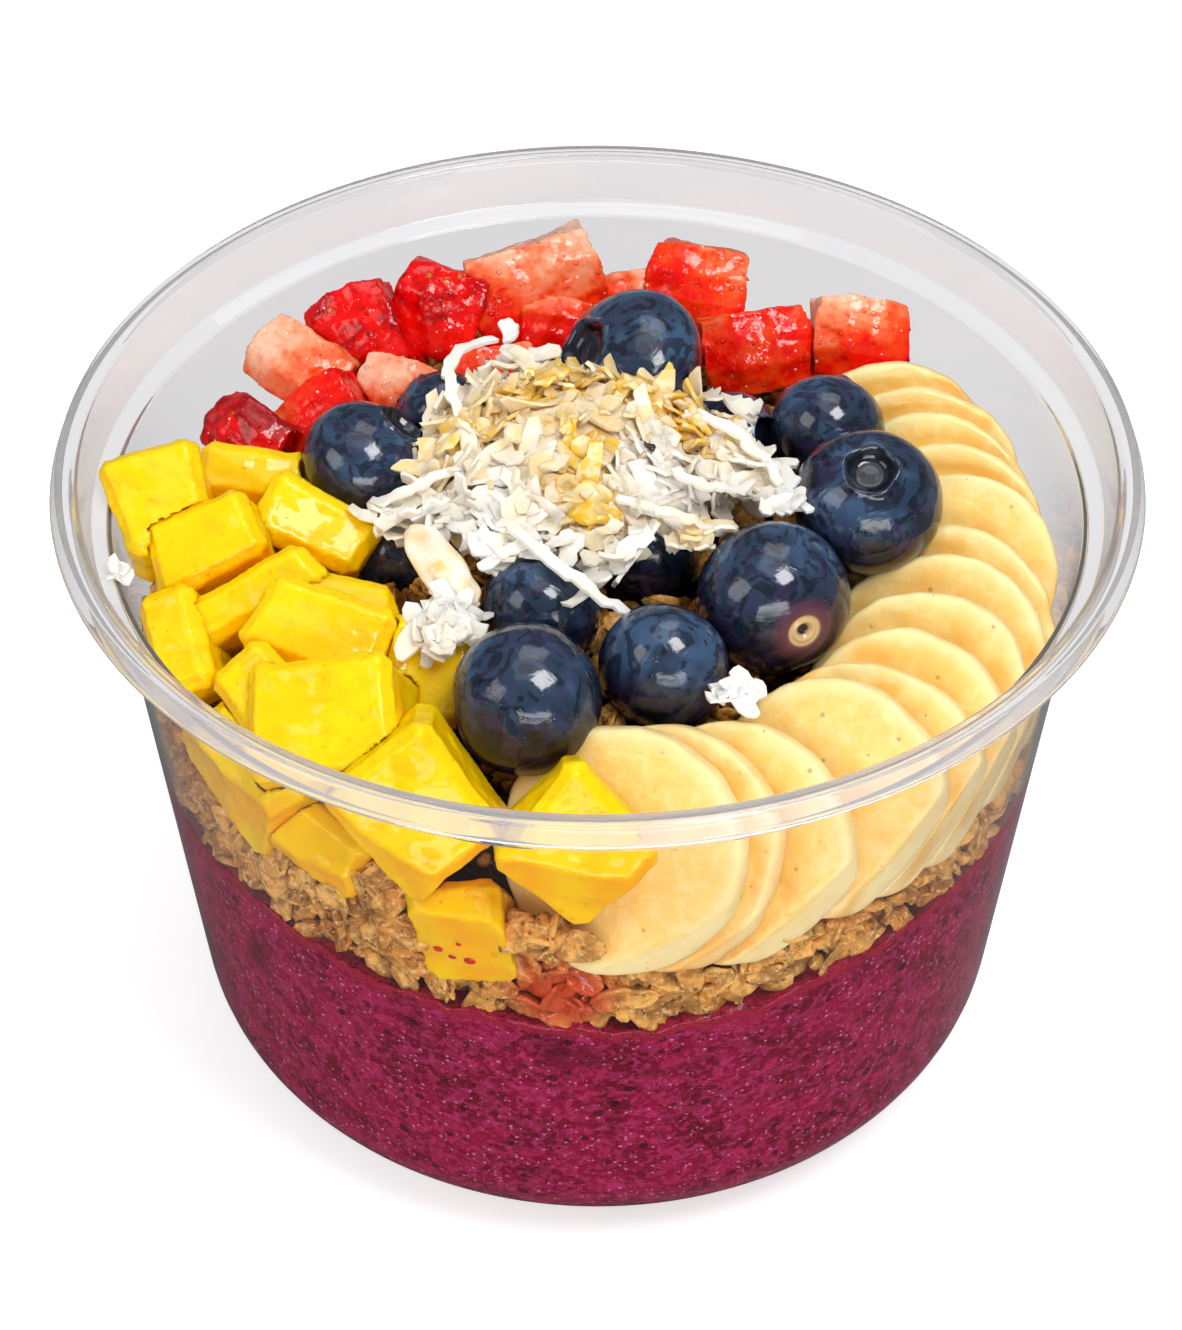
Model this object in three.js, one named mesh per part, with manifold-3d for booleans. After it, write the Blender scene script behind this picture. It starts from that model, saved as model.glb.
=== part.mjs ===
// Acai bowl in a clear plastic pot: blended acai at the bottom, a layer of granola, and on top of it
// mango cubes, diced strawberry, a fan of banana slices, blueberries and a heap of shredded coconut.
// Millimetres, +Z up. The origin is the centre of the pot's base, on the surface that it stands on.
// -Y is the front: the mango lies front left, the strawberry at the back, the banana on the right.

import * as THREE from "three";
import { ConvexGeometry } from "three/addons/geometries/ConvexGeometry.js";
import { mergeVertices } from "three/addons/utils/BufferGeometryUtils.js";
import Module from "manifold-3d";

const wasm = await Module();
wasm.setup();

// ---- driving dimensions -------------------------------------------------------------------------

const rimDiameter = 117;
const potHeight = 77.2;
const baseDiameter = 64; // the flat that the pot stands on
const cornerRadius = 13.7; // between the base and the wall
const wallThickness = 0.7;
const wallLean = THREE.MathUtils.degToRad(6.95);
const ledgeDepth = 6.1; // from the rim's top down to the lid ledge
const ledgeWidth = 2.1;
const flangeWidth = 3.1;
const skirtDrop = 2.4;
const gap = 0.3; // between any two pieces

const bananaDiameter = 26.4; // front slice
const bananaBackDiameter = 23.2;
const bananaThickness = 3.4;
const flakeLength = 5.2;
const shredLength = 11;

const aroundPot = 44; // facets round the pot
const aroundFilling = 36; // and round the acai, the granola and the room that the fruit is in
const aroundBanana = 14;
const aroundBerry = 10;

// ---- small tools --------------------------------------------------------------------------------

const degrees = THREE.MathUtils.degToRad;
const mix = THREE.MathUtils.lerp;

// A repeatable draw between 0 and 1.
function makeDraw(seed) {
  let state = seed >>> 0;
  return () => {
    state = (state + 0x6d2b79f5) >>> 0;
    let t = state;
    t = Math.imul(t ^ (t >>> 15), t | 1);
    t ^= t + Math.imul(t ^ (t >>> 7), t | 61);
    return ((t ^ (t >>> 14)) >>> 0) / 4294967296;
  };
}

function solidOf(geometry) {
  const plain = (geometry.index ? geometry : mergeVertices(geometry, 1e-4)).clone();
  for (const name of Object.keys(plain.attributes)) {
    if (name !== "position") plain.deleteAttribute(name);
  }
  const merged = mergeVertices(plain, 1e-3);
  const mesh = new wasm.Mesh({
    numProp: 3,
    vertProperties: new Float32Array(merged.attributes.position.array),
    triVerts: new Uint32Array(merged.index.array),
  });
  return new wasm.Manifold(mesh);
}

function geometryOf(solid) {
  const mesh = solid.getMesh();
  const geometry = new THREE.BufferGeometry();
  geometry.setAttribute("position", new THREE.BufferAttribute(mesh.vertProperties, 3));
  geometry.setIndex(new THREE.BufferAttribute(mesh.triVerts, 1));
  return geometry;
}

// The largest body of a solid that a cut may have split.
function mainBody(solid) {
  return solid.decompose().reduce((best, body) => (body.volume() > best.volume() ? body : best));
}

// The turn that points local +Z to a compass direction: azimuth 0 is the front, 90 the right, and
// elevation is above the horizon. Roll turns the piece about that direction.
function turnTo(azimuth, elevation, roll = 0) {
  const a = degrees(azimuth);
  const e = degrees(elevation);
  const out = new THREE.Vector3(Math.cos(e) * Math.sin(a), -Math.cos(e) * Math.cos(a), Math.sin(e));
  const right = new THREE.Vector3(Math.cos(a), Math.sin(a), 0);
  const up = new THREE.Vector3().crossVectors(out, right);
  const basis = new THREE.Matrix4().makeBasis(right, up, out);
  return basis.multiply(new THREE.Matrix4().makeRotationZ(degrees(roll)));
}

function placed(geometry, at, azimuth, elevation, roll) {
  const matrix = turnTo(azimuth, elevation, roll).setPosition(...at);
  return geometry.clone().applyMatrix4(matrix);
}

// ---- the pot ------------------------------------------------------------------------------------

const rimRadius = rimDiameter / 2;
const baseRadius = baseDiameter / 2;
const cornerTopRadius = baseRadius + cornerRadius * Math.cos(wallLean);
const cornerTopHeight = cornerRadius * (1 - Math.sin(wallLean));

// The outer wall's radius at a height, and the inner wall's.
function outerRadius(height) {
  if (height >= cornerTopHeight) {
    return cornerTopRadius + (height - cornerTopHeight) * Math.tan(wallLean);
  }
  const below = cornerRadius - height;
  return baseRadius + Math.sqrt(cornerRadius ** 2 - below ** 2);
}

// The corner's arc, from the base up to the wall, moved in by an inset.
function cornerArc(inset, steps) {
  const points = [];
  for (let i = 0; i <= steps; i++) {
    const angle = mix(-Math.PI / 2, -wallLean, i / steps);
    const radius = cornerRadius - inset;
    points.push([baseRadius + radius * Math.cos(angle), cornerRadius + radius * Math.sin(angle)]);
  }
  return points;
}

const ledgeHeight = potHeight - ledgeDepth;
const ledgeInner = outerRadius(ledgeHeight) - wallThickness;

function latheAroundZ(profile, facets) {
  const points = profile.map(([r, z]) => new THREE.Vector2(Math.max(r, 0), z));
  return new THREE.LatheGeometry(points, facets).rotateX(Math.PI / 2);
}

function potGeometry() {
  const t = wallThickness;
  const flangeInner = rimRadius - flangeWidth;
  const outside = [[0, 0], ...cornerArc(0, 3)];
  const rim = [
    [outerRadius(ledgeHeight - 0.6), ledgeHeight - 0.6],
    [ledgeInner + ledgeWidth + t, ledgeHeight - 0.2],
    [flangeInner + t, potHeight - t - 0.2],
    [rimRadius - 1.5, potHeight - t],
    [rimRadius - t, potHeight - skirtDrop],
    [rimRadius, potHeight - skirtDrop],
    [rimRadius - 0.8, potHeight],
    [flangeInner + 0.5, potHeight],
    [flangeInner, potHeight - 0.6],
    [ledgeInner + ledgeWidth, ledgeHeight + 0.6],
    [ledgeInner, ledgeHeight],
  ];
  const inside = [...cornerArc(t, 3).reverse(), [0, t]];
  return latheAroundZ([...outside, ...rim, ...inside], aroundPot);
}

// What fits inside the pot with a gap all round, open at the top.
function roomGeometry() {
  const inset = wallThickness + gap;
  const wall = [
    ...cornerArc(inset, 3),
    [ledgeInner - gap, ledgeHeight + gap],
    [ledgeInner + ledgeWidth - gap, ledgeHeight + 0.6 + gap],
    [rimRadius - flangeWidth - gap, potHeight],
    [rimRadius - flangeWidth - gap, potHeight + 20],
  ];
  return latheAroundZ([[0, inset], ...wall, [0, potHeight + 20]], aroundFilling);
}

// ---- acai and granola ---------------------------------------------------------------------------

const acaiSide = 44.3; // level at the sides and back
const acaiFrontDip = 4.9; // how much lower it lies at the front

// Angle round the pot, 0 at the front and positive to the right.
function bearing(x, y) {
  return Math.atan2(x, -y);
}

function acaiTop(x, y) {
  const b = bearing(x, y);
  const edge = Math.hypot(x, y) / 49;
  const dip = acaiFrontDip * Math.exp(-((b / 0.72) ** 2));
  const ripple = 0.35 * Math.sin(9 * b) + 0.3 * Math.sin(5 * b + 1);
  return acaiSide - (dip + ripple) * edge ** 2 - 1.2 * (1 - edge);
}

const brim = 40; // a height that the acai's top is always near
const brimRadius = outerRadius(brim) - wallThickness - gap;
const acaiRings = [0.5, 0.9]; // of the brim's radius, for the acai's top and the granola's underside

function acaiGeometry() {
  const inset = wallThickness + gap;
  const wallTop = [brimRadius, brim];
  const topRings = acaiRings.map((share) => [wallTop[0] * share, brim]).reverse();
  const profile = [[0, inset], ...cornerArc(inset, 3), wallTop, ...topRings, [0, brim]];
  const geometry = latheAroundZ(profile, aroundFilling);
  const place = geometry.attributes.position;
  for (let i = 0; i < place.count; i++) {
    if (place.getZ(i) < brim - 0.01) continue;
    const z = acaiTop(place.getX(i), place.getY(i));
    const widen = Math.hypot(place.getX(i), place.getY(i)) > wallTop[0] - 0.01;
    const scale = widen ? (outerRadius(z) - inset) / wallTop[0] : 1;
    place.setXYZ(i, place.getX(i) * scale, place.getY(i) * scale, z);
  }
  return geometry;
}

const heapTop = 64.5; // the middle of the granola, which carries the fruit

// The granola's own level where nothing presses on it: highest under the mango, lowest under the
// banana slices, which are pushed in on the right.
function granolaLevel(x, y) {
  const b = bearing(x, y);
  const edge = Math.min(Math.hypot(x, y) / 49, 1);
  const left = Math.exp(-(((b + 1.0) / 0.75) ** 2));
  const back = Math.exp(-(((Math.abs(b) - Math.PI) / 0.9) ** 2));
  const atWall = 48 + 7.5 * left + 8 * back;
  return mix(heapTop, atWall, edge ** 2.4);
}

// Lowest point of the pieces above (x, y), felt at the place and just round it.
function lowestAbove(pieces, x, y, reach) {
  let lowest = Infinity;
  const caster = new THREE.Raycaster();
  const up = new THREE.Vector3(0, 0, 1);
  for (let i = 0; i < 13; i++) {
    const away = i === 0 ? 0 : reach * (i % 2 ? 1 : 0.6);
    const angle = (i * Math.PI) / 6;
    caster.set(new THREE.Vector3(x + away * Math.cos(angle), y + away * Math.sin(angle), 20), up);
    for (const hit of caster.intersectObjects(pieces)) lowest = Math.min(lowest, hit.point.z);
  }
  return lowest;
}

// The layer's body: a disc that follows the acai below, and the fruit above wherever fruit presses it.
function granolaCore(pieces) {
  const inset = wallThickness + gap;
  const shares = [0.2, 0.38, 0.54, 0.68, 0.8, 0.9];
  const under = acaiRings.map((share) => [share, 0]);
  const over = shares.map((share) => [share, 1]).reverse();
  const profile = [[0, 0], ...under, [1, 0], [1, 1], ...over, [0, 1]];
  const geometry = latheAroundZ(profile, aroundFilling);
  const merged = mergeVertices(geometry.deleteAttribute("normal").deleteAttribute("uv"), 1e-4);
  const place = merged.attributes.position;
  const floors = [];
  for (let i = 0; i < place.count; i++) {
    const share = Math.hypot(place.getX(i), place.getY(i));
    const upper = place.getZ(i) > 0.5;
    const bearingHere = share < 1e-6 ? 0 : bearing(place.getX(i), place.getY(i));
    const reach = share * (upper ? outerRadius(50) - inset - 1.2 : brimRadius);
    const x = reach * Math.sin(bearingHere);
    const y = -reach * Math.cos(bearingHere);
    const floor = acaiTop(x, y) + gap + 0.35;
    let z = floor;
    if (upper) {
      floors[i] = floor + 0.9;
      const ceiling = lowestAbove(pieces, x, y, 2.4) - gap - 0.1;
      z = Math.max(floors[i], Math.min(granolaLevel(x, y), ceiling));
    }
    place.setXYZ(i, x, y, z);
  }
  return pressedDown(merged, floors, pieces);
}

// Lowers the points of the layer's top wherever a piece of fruit still reaches into it.
function pressedDown(geometry, floors, pieces) {
  const place = geometry.attributes.position;
  for (let round = 0; round < 40; round++) {
    const solid = solidOf(geometry);
    let touched = false;
    for (const piece of pieces) {
      const common = solid.intersect(piece.userData.grown);
      if (common.volume() <= 0) continue;
      touched = true;
      const reached = geometryOf(common);
      reached.computeBoundingBox();
      const near = reached.boundingBox.expandByScalar(1.5 + 0.1 * round);
      for (const i of Object.keys(floors).map(Number)) {
        const over = near.min.x < place.getX(i) && place.getX(i) < near.max.x;
        const beside = near.min.y < place.getY(i) && place.getY(i) < near.max.y;
        if (over && beside) place.setZ(i, Math.max(floors[i], place.getZ(i) - 0.3));
      }
    }
    if (!touched) break;
  }
  return geometry;
}

// One oat flake or small cluster: an uneven flattened lump.
function flakeGeometry(draw) {
  const lump = new THREE.IcosahedronGeometry(flakeLength / 2, 0);
  const merged = mergeVertices(lump.deleteAttribute("normal").deleteAttribute("uv"));
  const place = merged.attributes.position;
  const squash = [mix(0.8, 1.1, draw()), mix(0.55, 0.9, draw()), mix(0.35, 0.6, draw())];
  for (let i = 0; i < place.count; i++) {
    const uneven = mix(0.8, 1.15, draw());
    place.setXYZ(
      i,
      place.getX(i) * squash[0] * uneven,
      place.getY(i) * squash[1] * uneven,
      place.getZ(i) * squash[2] * uneven,
    );
  }
  return merged;
}

function granolaSolid(pieces) {
  const draw = makeDraw(11);
  const core = solidOf(granolaCore(pieces));
  const room = solidOf(roomGeometry());
  const acai = solidOf(acaiGeometry().translate(0, 0, gap));
  const others = pieces.map((piece) => piece.userData.grown);
  const flakes = [];
  const wanted = 26;
  for (let tries = 0; tries < 900 && flakes.length < wanted; tries++) {
    const b = degrees(mix(-112, 100, draw()));
    const height = mix(43, 57, draw());
    const reach = outerRadius(height) - wallThickness - gap - mix(1.6, 3.2, draw());
    const at = [reach * Math.sin(b), -reach * Math.cos(b), height];
    if (height > granolaLevel(at[0], at[1]) + 1 || height < acaiTop(at[0], at[1]) + 1.6) continue;
    const flake = solidOf(
      placed(flakeGeometry(draw), at, THREE.MathUtils.radToDeg(b) + mix(-35, 35, draw()), mix(-25, 50, draw()), 360 * draw()),
    );
    const crosses = flake.subtract(room).volume() > 0 || flake.intersect(acai).volume() > 0;
    if (crosses || others.some((other) => flake.intersect(other).volume() > 0)) continue;
    if (flake.intersect(core).volume() < 0.12 * flake.volume()) continue;
    if (flakes.some((near) => flake.intersect(near).volume() > 0.45 * flake.volume())) continue;
    flakes.push(flake);
  }
  return mainBody(flakes.reduce((sum, flake) => sum.add(flake), core));
}

// ---- fruit shapes -------------------------------------------------------------------------------

// A cut block with its edges taken off and its corners a little out of square.
function blockGeometry([width, height, depth], seed, bevel = 1.1) {
  const draw = makeDraw(seed);
  const points = [];
  for (const sx of [-1, 1]) {
    for (const sy of [-1, 1]) {
      for (const sz of [-1, 1]) {
        const skew = [mix(0.86, 1.08, draw()), mix(0.86, 1.08, draw()), mix(0.9, 1.06, draw())];
        const corner = [(sx * width * skew[0]) / 2, (sy * height * skew[1]) / 2, (sz * depth * skew[2]) / 2];
        const [x, y, z] = corner;
        points.push(new THREE.Vector3(x, y - sy * bevel, z - sz * bevel));
        points.push(new THREE.Vector3(x - sx * bevel, y, z - sz * bevel));
        points.push(new THREE.Vector3(x - sx * bevel, y - sy * bevel, z));
      }
    }
  }
  return new ConvexGeometry(points);
}

// A piece of strawberry: a block whose local +Z side is the berry's round skin.
function strawberryGeometry([width, height, depth], seed, bulge = 2.2) {
  const draw = makeDraw(seed);
  const points = [];
  const bevel = 0.8;
  for (const sx of [-1, 1]) {
    for (const sy of [-1, 1]) {
      const x = (sx * width * mix(0.78, 1, draw())) / 2;
      const y = (sy * height * mix(0.78, 1, draw())) / 2;
      points.push(new THREE.Vector3(x - sx * bevel, y - sy * bevel, -depth / 2));
      points.push(new THREE.Vector3(x, y, -depth / 2 + bevel));
    }
  }
  const steps = 3;
  for (let i = 0; i <= steps; i++) {
    for (let j = 0; j <= steps; j++) {
      const u = (2 * i) / steps - 1;
      const v = (2 * j) / steps - 1;
      const corner = Math.abs(u * v) > 0.99 ? 0.9 : 1;
      const fall = 0.55 * u * u + 0.55 * v * v;
      const uneven = mix(-0.15, 0.15, draw());
      points.push(
        new THREE.Vector3((u * corner * width) / 2, (v * corner * height) / 2, depth / 2 - bulge * fall + uneven),
      );
    }
  }
  return new ConvexGeometry(points);
}

// A banana slice, face to local +Z: rounded at its edge and slightly three-sided, as bananas are.
function bananaGeometry(diameter, seed) {
  const draw = makeDraw(seed);
  const r = diameter / 2;
  const h = bananaThickness / 2;
  const profile = [[0, -h], [r - 0.8, -h], [r, 0], [r - 0.8, h], [0, h + 0.2]];
  const geometry = latheAroundZ(profile, aroundBanana);
  const place = geometry.attributes.position;
  const phase = 2 * Math.PI * draw();
  const stretch = mix(0.93, 1, draw());
  for (let i = 0; i < place.count; i++) {
    const angle = Math.atan2(place.getY(i), place.getX(i));
    const round = 1 + 0.022 * Math.cos(3 * angle + phase);
    place.setXYZ(i, place.getX(i) * round, place.getY(i) * round * stretch, place.getZ(i));
  }
  return geometry;
}

// A blueberry, crown to local +Z: a squat ball with a ring of sepals round a small crater.
function blueberryGeometry(radius, squat) {
  const h = radius * squat;
  const crown = radius * 0.36;
  const profile = [[0, -h]];
  for (const angle of [-54, -20, 15, 48]) {
    profile.push([radius * Math.cos(degrees(angle)), h * Math.sin(degrees(angle))]);
  }
  profile.push([crown * 1.15, h * 0.93], [crown, h * 1.03], [crown * 0.72, h * 0.84], [0, h * 0.78]);
  return latheAroundZ(profile, aroundBerry);
}

// A shred of coconut: a thin curved strip along local X.
function shredGeometry(draw) {
  const length = shredLength * mix(0.5, 1.1, draw());
  const width = mix(1.3, 2.2, draw());
  const thick = 0.9;
  const bend = mix(-0.12, 0.12, draw());
  const strip = new THREE.BoxGeometry(length, width, thick, 2, 1, 1);
  const place = strip.attributes.position;
  for (let i = 0; i < place.count; i++) {
    const x = place.getX(i);
    const narrow = mix(1, 0.55, Math.abs(x) / (length / 2));
    place.setXYZ(i, x, place.getY(i) * narrow + bend * x * x * 0.25, place.getZ(i) - 0.02 * x * x);
  }
  return strip;
}

// ---- where every piece lies ---------------------------------------------------------------------
// at is the piece's centre, face the direction its local +Z points to, [azimuth, elevation, roll].
// Pieces earlier in the list keep their whole shape, and later ones are pressed in where they meet.

const blueberries = [
  { radius: 8, squat: 0.94, at: [-7.3, -29.7, 68.5], face: [-15, 62] },
  { radius: 6.9, squat: 0.88, at: [6.9, -23.2, 67.2], face: [8, 58] },
  { radius: 8.3, squat: 0.94, at: [18.6, -13.2, 68.2], face: [25, 8] },
  { radius: 8.1, squat: 0.93, at: [29, -1.8, 72], face: [4, 64] },
  { radius: 6.5, squat: 0.92, at: [25.4, 13.4, 69.8], face: [160, 20] },
  { radius: 7.3, squat: 0.9, at: [-25.3, 7.8, 69.5], face: [-50, 70] },
  { radius: 9.8, squat: 0.72, at: [3.3, 22.3, 71], face: [-10, 80] },
  { radius: 6.5, squat: 0.9, at: [-6, -14.6, 67.5], face: [30, 60] },
  { radius: 5.6, squat: 0.92, at: [15, 15.8, 66.5], face: [60, 30] },
  { radius: 6.1, squat: 0.92, at: [5.1, -3, 66], face: [-60, 40] },
  { radius: 5.3, squat: 0.92, at: [-17.5, 19, 67.4], face: [-120, 30] },
  { radius: 5.6, squat: 0.92, at: [-21.3, -0.7, 63], face: [-20, 30] },
];

const mangoes = [
  { size: [12.8, 12.8, 10.5], at: [-2.3, -45.3, 63.1], face: [6, 34, 45] },
  { size: [13, 15.5, 10.5], at: [-18.1, -39.9, 63.7], face: [-4, 32, 40] },
  { size: [10, 9.5, 9], at: [-13.5, -45.5, 51], face: [-28, 52, 20] },
  { size: [16.5, 12.5, 12], at: [-27, -30.7, 65.3], face: [-24, 52, 22] },
  { size: [15, 9, 10], at: [-28.8, -18.9, 66.8], face: [0, 58, -21] },
  { size: [11.5, 4.6, 8], at: [-26.8, -13.3, 67], face: [6, 62, -15] },
  { size: [15.5, 5.6, 11], at: [-36.1, -12.2, 66], face: [-15, 55, 42] },
  { size: [12, 9, 10], at: [-41.3, -5.3, 67.8], face: [-20, 58, 37] },
  { size: [10.5, 11, 10], at: [-46.8, 0, 69.1], face: [-10, 62, 25] },
  { size: [9, 13, 10], at: [-17.4, -20.2, 63.8], face: [2, 48, 0] },
  { size: [13, 7.5, 9], at: [-30.4, -0.9, 67], face: [10, 52, -34] },
  { size: [12.5, 6.5, 12], at: [-37.3, 9.3, 65.3], face: [0, 52, -8] },
  { size: [8.5, 8, 8], at: [-34.8, -25.3, 65.9], face: [-20, 50, -35] },
  { size: [14, 11.5, 10], at: [-35, -30.2, 59.2], face: [-42, 34, -30] },
  { size: [15, 6.6, 9], at: [-28.4, -34.6, 55.2], face: [-36, 30, -10] },
  { size: [11.5, 6.5, 9], at: [-43.1, -17.2, 64.5], face: [-38, 52, -42] },
  { size: [7, 5.5, 8], at: [-22.8, -23.5, 63.8], face: [20, 52, -8] },
];

const strawberries = [
  { size: [11, 9.6, 10], at: [29.6, 33.5, 67.1], face: [10, 36, -12] },
  { size: [12.6, 9.4, 9.5], at: [18.1, 32.5, 66.2], face: [4, 36, 8] },
  { size: [11.5, 9.5, 10], at: [11.7, 43.5, 67.2], face: [-6, 34, -6] },
  { size: [15.5, 11, 10], at: [-7.2, 41.4, 68.5], face: [8, 30, 12] },
  { size: [10, 10, 9.5], at: [-17.9, 38.2, 67.8], face: [-10, 34, -12] },
  { size: [11, 7, 8], at: [-31.1, 19.9, 66.3], face: [-28, 42, 56] },
  { size: [10.5, 11, 9], at: [-26.8, 33.9, 67.1], face: [-20, 40, 38] },
  { size: [11.5, 8.5, 8.5], at: [-33.3, 29.2, 66.3], face: [-16, 40, -24] },
  { size: [9, 7.5, 8], at: [-22.5, 24.9, 66.2], face: [-6, 44, -10] },
  { size: [10, 6.5, 8], at: [-11.7, 28.4, 65.7], face: [8, 44, 4] },
  { size: [9.5, 6.5, 8], at: [-4, 36.6, 66.4], face: [6, 40, -14] },
  { size: [9.5, 7.5, 11], at: [4, 43.2, 64.4], face: [0, 40, 6] },
  { size: [9.5, 7.5, 8], at: [-38.3, 16.2, 66.6], face: [-30, 46, -14] },
];

// The banana slices lean on each other in a fan that runs from the front round to the back right.
// bearing is measured round the pot from the front.
const bananas = [
  { bearing: 3.7, reach: 41.3, height: 58.4, face: [-24, 36] },
  { bearing: 9.5, reach: 39.8, height: 57, face: [-24, 37] },
  { bearing: 20, reach: 41.2, height: 56.6, face: [-24, 38] },
  { bearing: 34.8, reach: 41.4, height: 58.6, face: [-22, 40] },
  { bearing: 42.3, reach: 41.2, height: 58.2, face: [-20, 40] },
  { bearing: 50.4, reach: 41, height: 58.3, face: [-18, 40] },
  { bearing: 59.5, reach: 39.6, height: 58.9, face: [-16, 41] },
  { bearing: 69.8, reach: 39, height: 59.4, face: [-14, 42] },
  { bearing: 76.5, reach: 38.6, height: 58.9, face: [-12, 42] },
  { bearing: 87, reach: 38.4, height: 61, face: [-8, 42] },
  { bearing: 94.8, reach: 37.8, height: 61.2, face: [-6, 40] },
  { bearing: 102.8, reach: 37.6, height: 61.6, face: [-4, 39] },
  { bearing: 110, reach: 37.6, height: 61.8, face: [-2, 38] },
  { bearing: 117, reach: 37.4, height: 62, face: [0, 37] },
];

function bananaPlace({ bearing: around, reach, height, face }) {
  const a = degrees(around);
  return [[reach * Math.sin(a), -reach * Math.cos(a), height], ...face, 0];
}

// ---- putting the pieces together ----------------------------------------------------------------

const finishes = {
  pot: new THREE.MeshStandardMaterial({ color: 0xe6e4ea, roughness: 0.05, transparent: true, opacity: 0.3 }),
  acai: new THREE.MeshStandardMaterial({ color: 0x8a1546, roughness: 0.4 }),
  granola: new THREE.MeshStandardMaterial({ color: 0xb98552, roughness: 0.7 }),
  mango: new THREE.MeshStandardMaterial({ color: 0xfdc90a, roughness: 0.3 }),
  strawberry: new THREE.MeshStandardMaterial({ color: 0xd8241a, roughness: 0.25 }),
  banana: new THREE.MeshStandardMaterial({ color: 0xf6dc9a, roughness: 0.4 }),
  blueberry: new THREE.MeshStandardMaterial({ color: 0x202a44, roughness: 0.25 }),
  coconut: new THREE.MeshStandardMaterial({ color: 0xf7f2e8, roughness: 0.6 }),
};

function toMesh(name, geometry, finish) {
  const mesh = new THREE.Mesh(geometry, finishes[finish]);
  mesh.name = name;
  return mesh;
}

// The same shape in its own frame, larger by the gap on every side.
function grown(geometry) {
  geometry.computeBoundingBox();
  const size = geometry.boundingBox.getSize(new THREE.Vector3());
  const by = [size.x, size.y, size.z].map((length) => 1 + (2 * gap) / length);
  return geometry.clone().scale(...by);
}

const fruit = [];
const room = solidOf(roomGeometry());

function addFruit(name, shape, place, finish) {
  const larger = solidOf(placed(grown(shape), ...place));
  let solid = solidOf(placed(shape, ...place)).intersect(room);
  for (const other of fruit) {
    if (solid.intersect(other.userData.grown).volume() > 0) solid = solid.subtract(other.userData.grown);
  }
  const mesh = toMesh(name, geometryOf(mainBody(solid)), finish);
  mesh.userData.grown = larger;
  fruit.push(mesh);
}

blueberries.forEach((berry, i) => {
  const shape = blueberryGeometry(berry.radius, berry.squat);
  addFruit(`blueberry_${i + 1}`, shape, [berry.at, ...berry.face, 0], "blueberry");
});
mangoes.forEach((cube, i) => {
  addFruit(`mango_${i + 1}`, blockGeometry(cube.size, 31 + i), [cube.at, ...cube.face], "mango");
});
bananas.forEach((slice, i) => {
  const diameter = mix(bananaDiameter, bananaBackDiameter, i / (bananas.length - 1));
  addFruit(`banana_${i + 1}`, bananaGeometry(diameter, 71 + i), bananaPlace(slice), "banana");
});
strawberries.forEach((piece, i) => {
  const shape = strawberryGeometry(piece.size, 51 + i);
  addFruit(`strawberry_${i + 1}`, shape, [piece.at, ...piece.face], "strawberry");
});

// ---- the coconut heap ---------------------------------------------------------------------------

const heap = { at: [-2.5, 6, 69.6], reach: [18, 15, 9.6], shreds: 15 };

// Long shreds that trail off the heap over the berries, each through three points.
const strands = [
  { width: 2.4, through: [[-9, -2, 73], [-3, -9.5, 74.6], [2.5, -17, 72]] },
  { width: 2.2, through: [[7, 8, 74.5], [13, 9, 74.4], [20, 7.5, 72.8]] },
  { width: 2.2, through: [[-12, 10, 73], [-14.5, 18, 74], [-12, 24, 74.6]] },
  { width: 2.6, through: [[9, 2, 72], [12, -3, 73], [9, -7, 72.4]] },
  { width: 3, through: [[-14, 3, 71], [-19, -2, 71.4], [-18, -9, 71]] },
];

// A strip that follows a curve, thin along the direction that is nearest to upright.
function strandGeometry({ width, through }, thick = 1) {
  const curve = new THREE.CatmullRomCurve3(through.map((point) => new THREE.Vector3(...point)));
  const strip = new THREE.BoxGeometry(1, width, thick, 3, 1, 1);
  const place = strip.attributes.position;
  for (let i = 0; i < place.count; i++) {
    const t = place.getX(i) + 0.5;
    const along = curve.getTangentAt(t);
    const side = new THREE.Vector3(0, 0, 1).cross(along).normalize();
    const up = along.clone().cross(side);
    const narrow = t > 0.9 ? 0.5 : 1;
    const point = curve.getPointAt(t);
    point.addScaledVector(side, place.getY(i) * narrow).addScaledVector(up, place.getZ(i));
    place.setXYZ(i, point.x, point.y, point.z);
  }
  return strip;
}

// The heap's body: an uneven dome, open to nothing and flat below.
function heapCore(draw) {
  const lump = new THREE.SphereGeometry(1, 14, 8).rotateX(Math.PI / 2);
  const merged = mergeVertices(lump.deleteAttribute("normal").deleteAttribute("uv"), 1e-4);
  const place = merged.attributes.position;
  for (let i = 0; i < place.count; i++) {
    const uneven = mix(0.9, 1.06, draw());
    place.setXYZ(i, place.getX(i) * uneven, place.getY(i) * uneven, place.getZ(i) * uneven);
  }
  const dome = merged.scale(...heap.reach.map((reach) => reach * 0.86)).translate(...heap.at);
  const above = new THREE.BoxGeometry(80, 80, 40).translate(0, 0, 66.5 + 20);
  let core = solidOf(dome).intersect(solidOf(above));
  for (const piece of fruit) {
    const other = piece.userData.grown;
    if (core.intersect(other).volume() > 0) core = core.subtract(other);
  }
  return mainBody(core);
}

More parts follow.
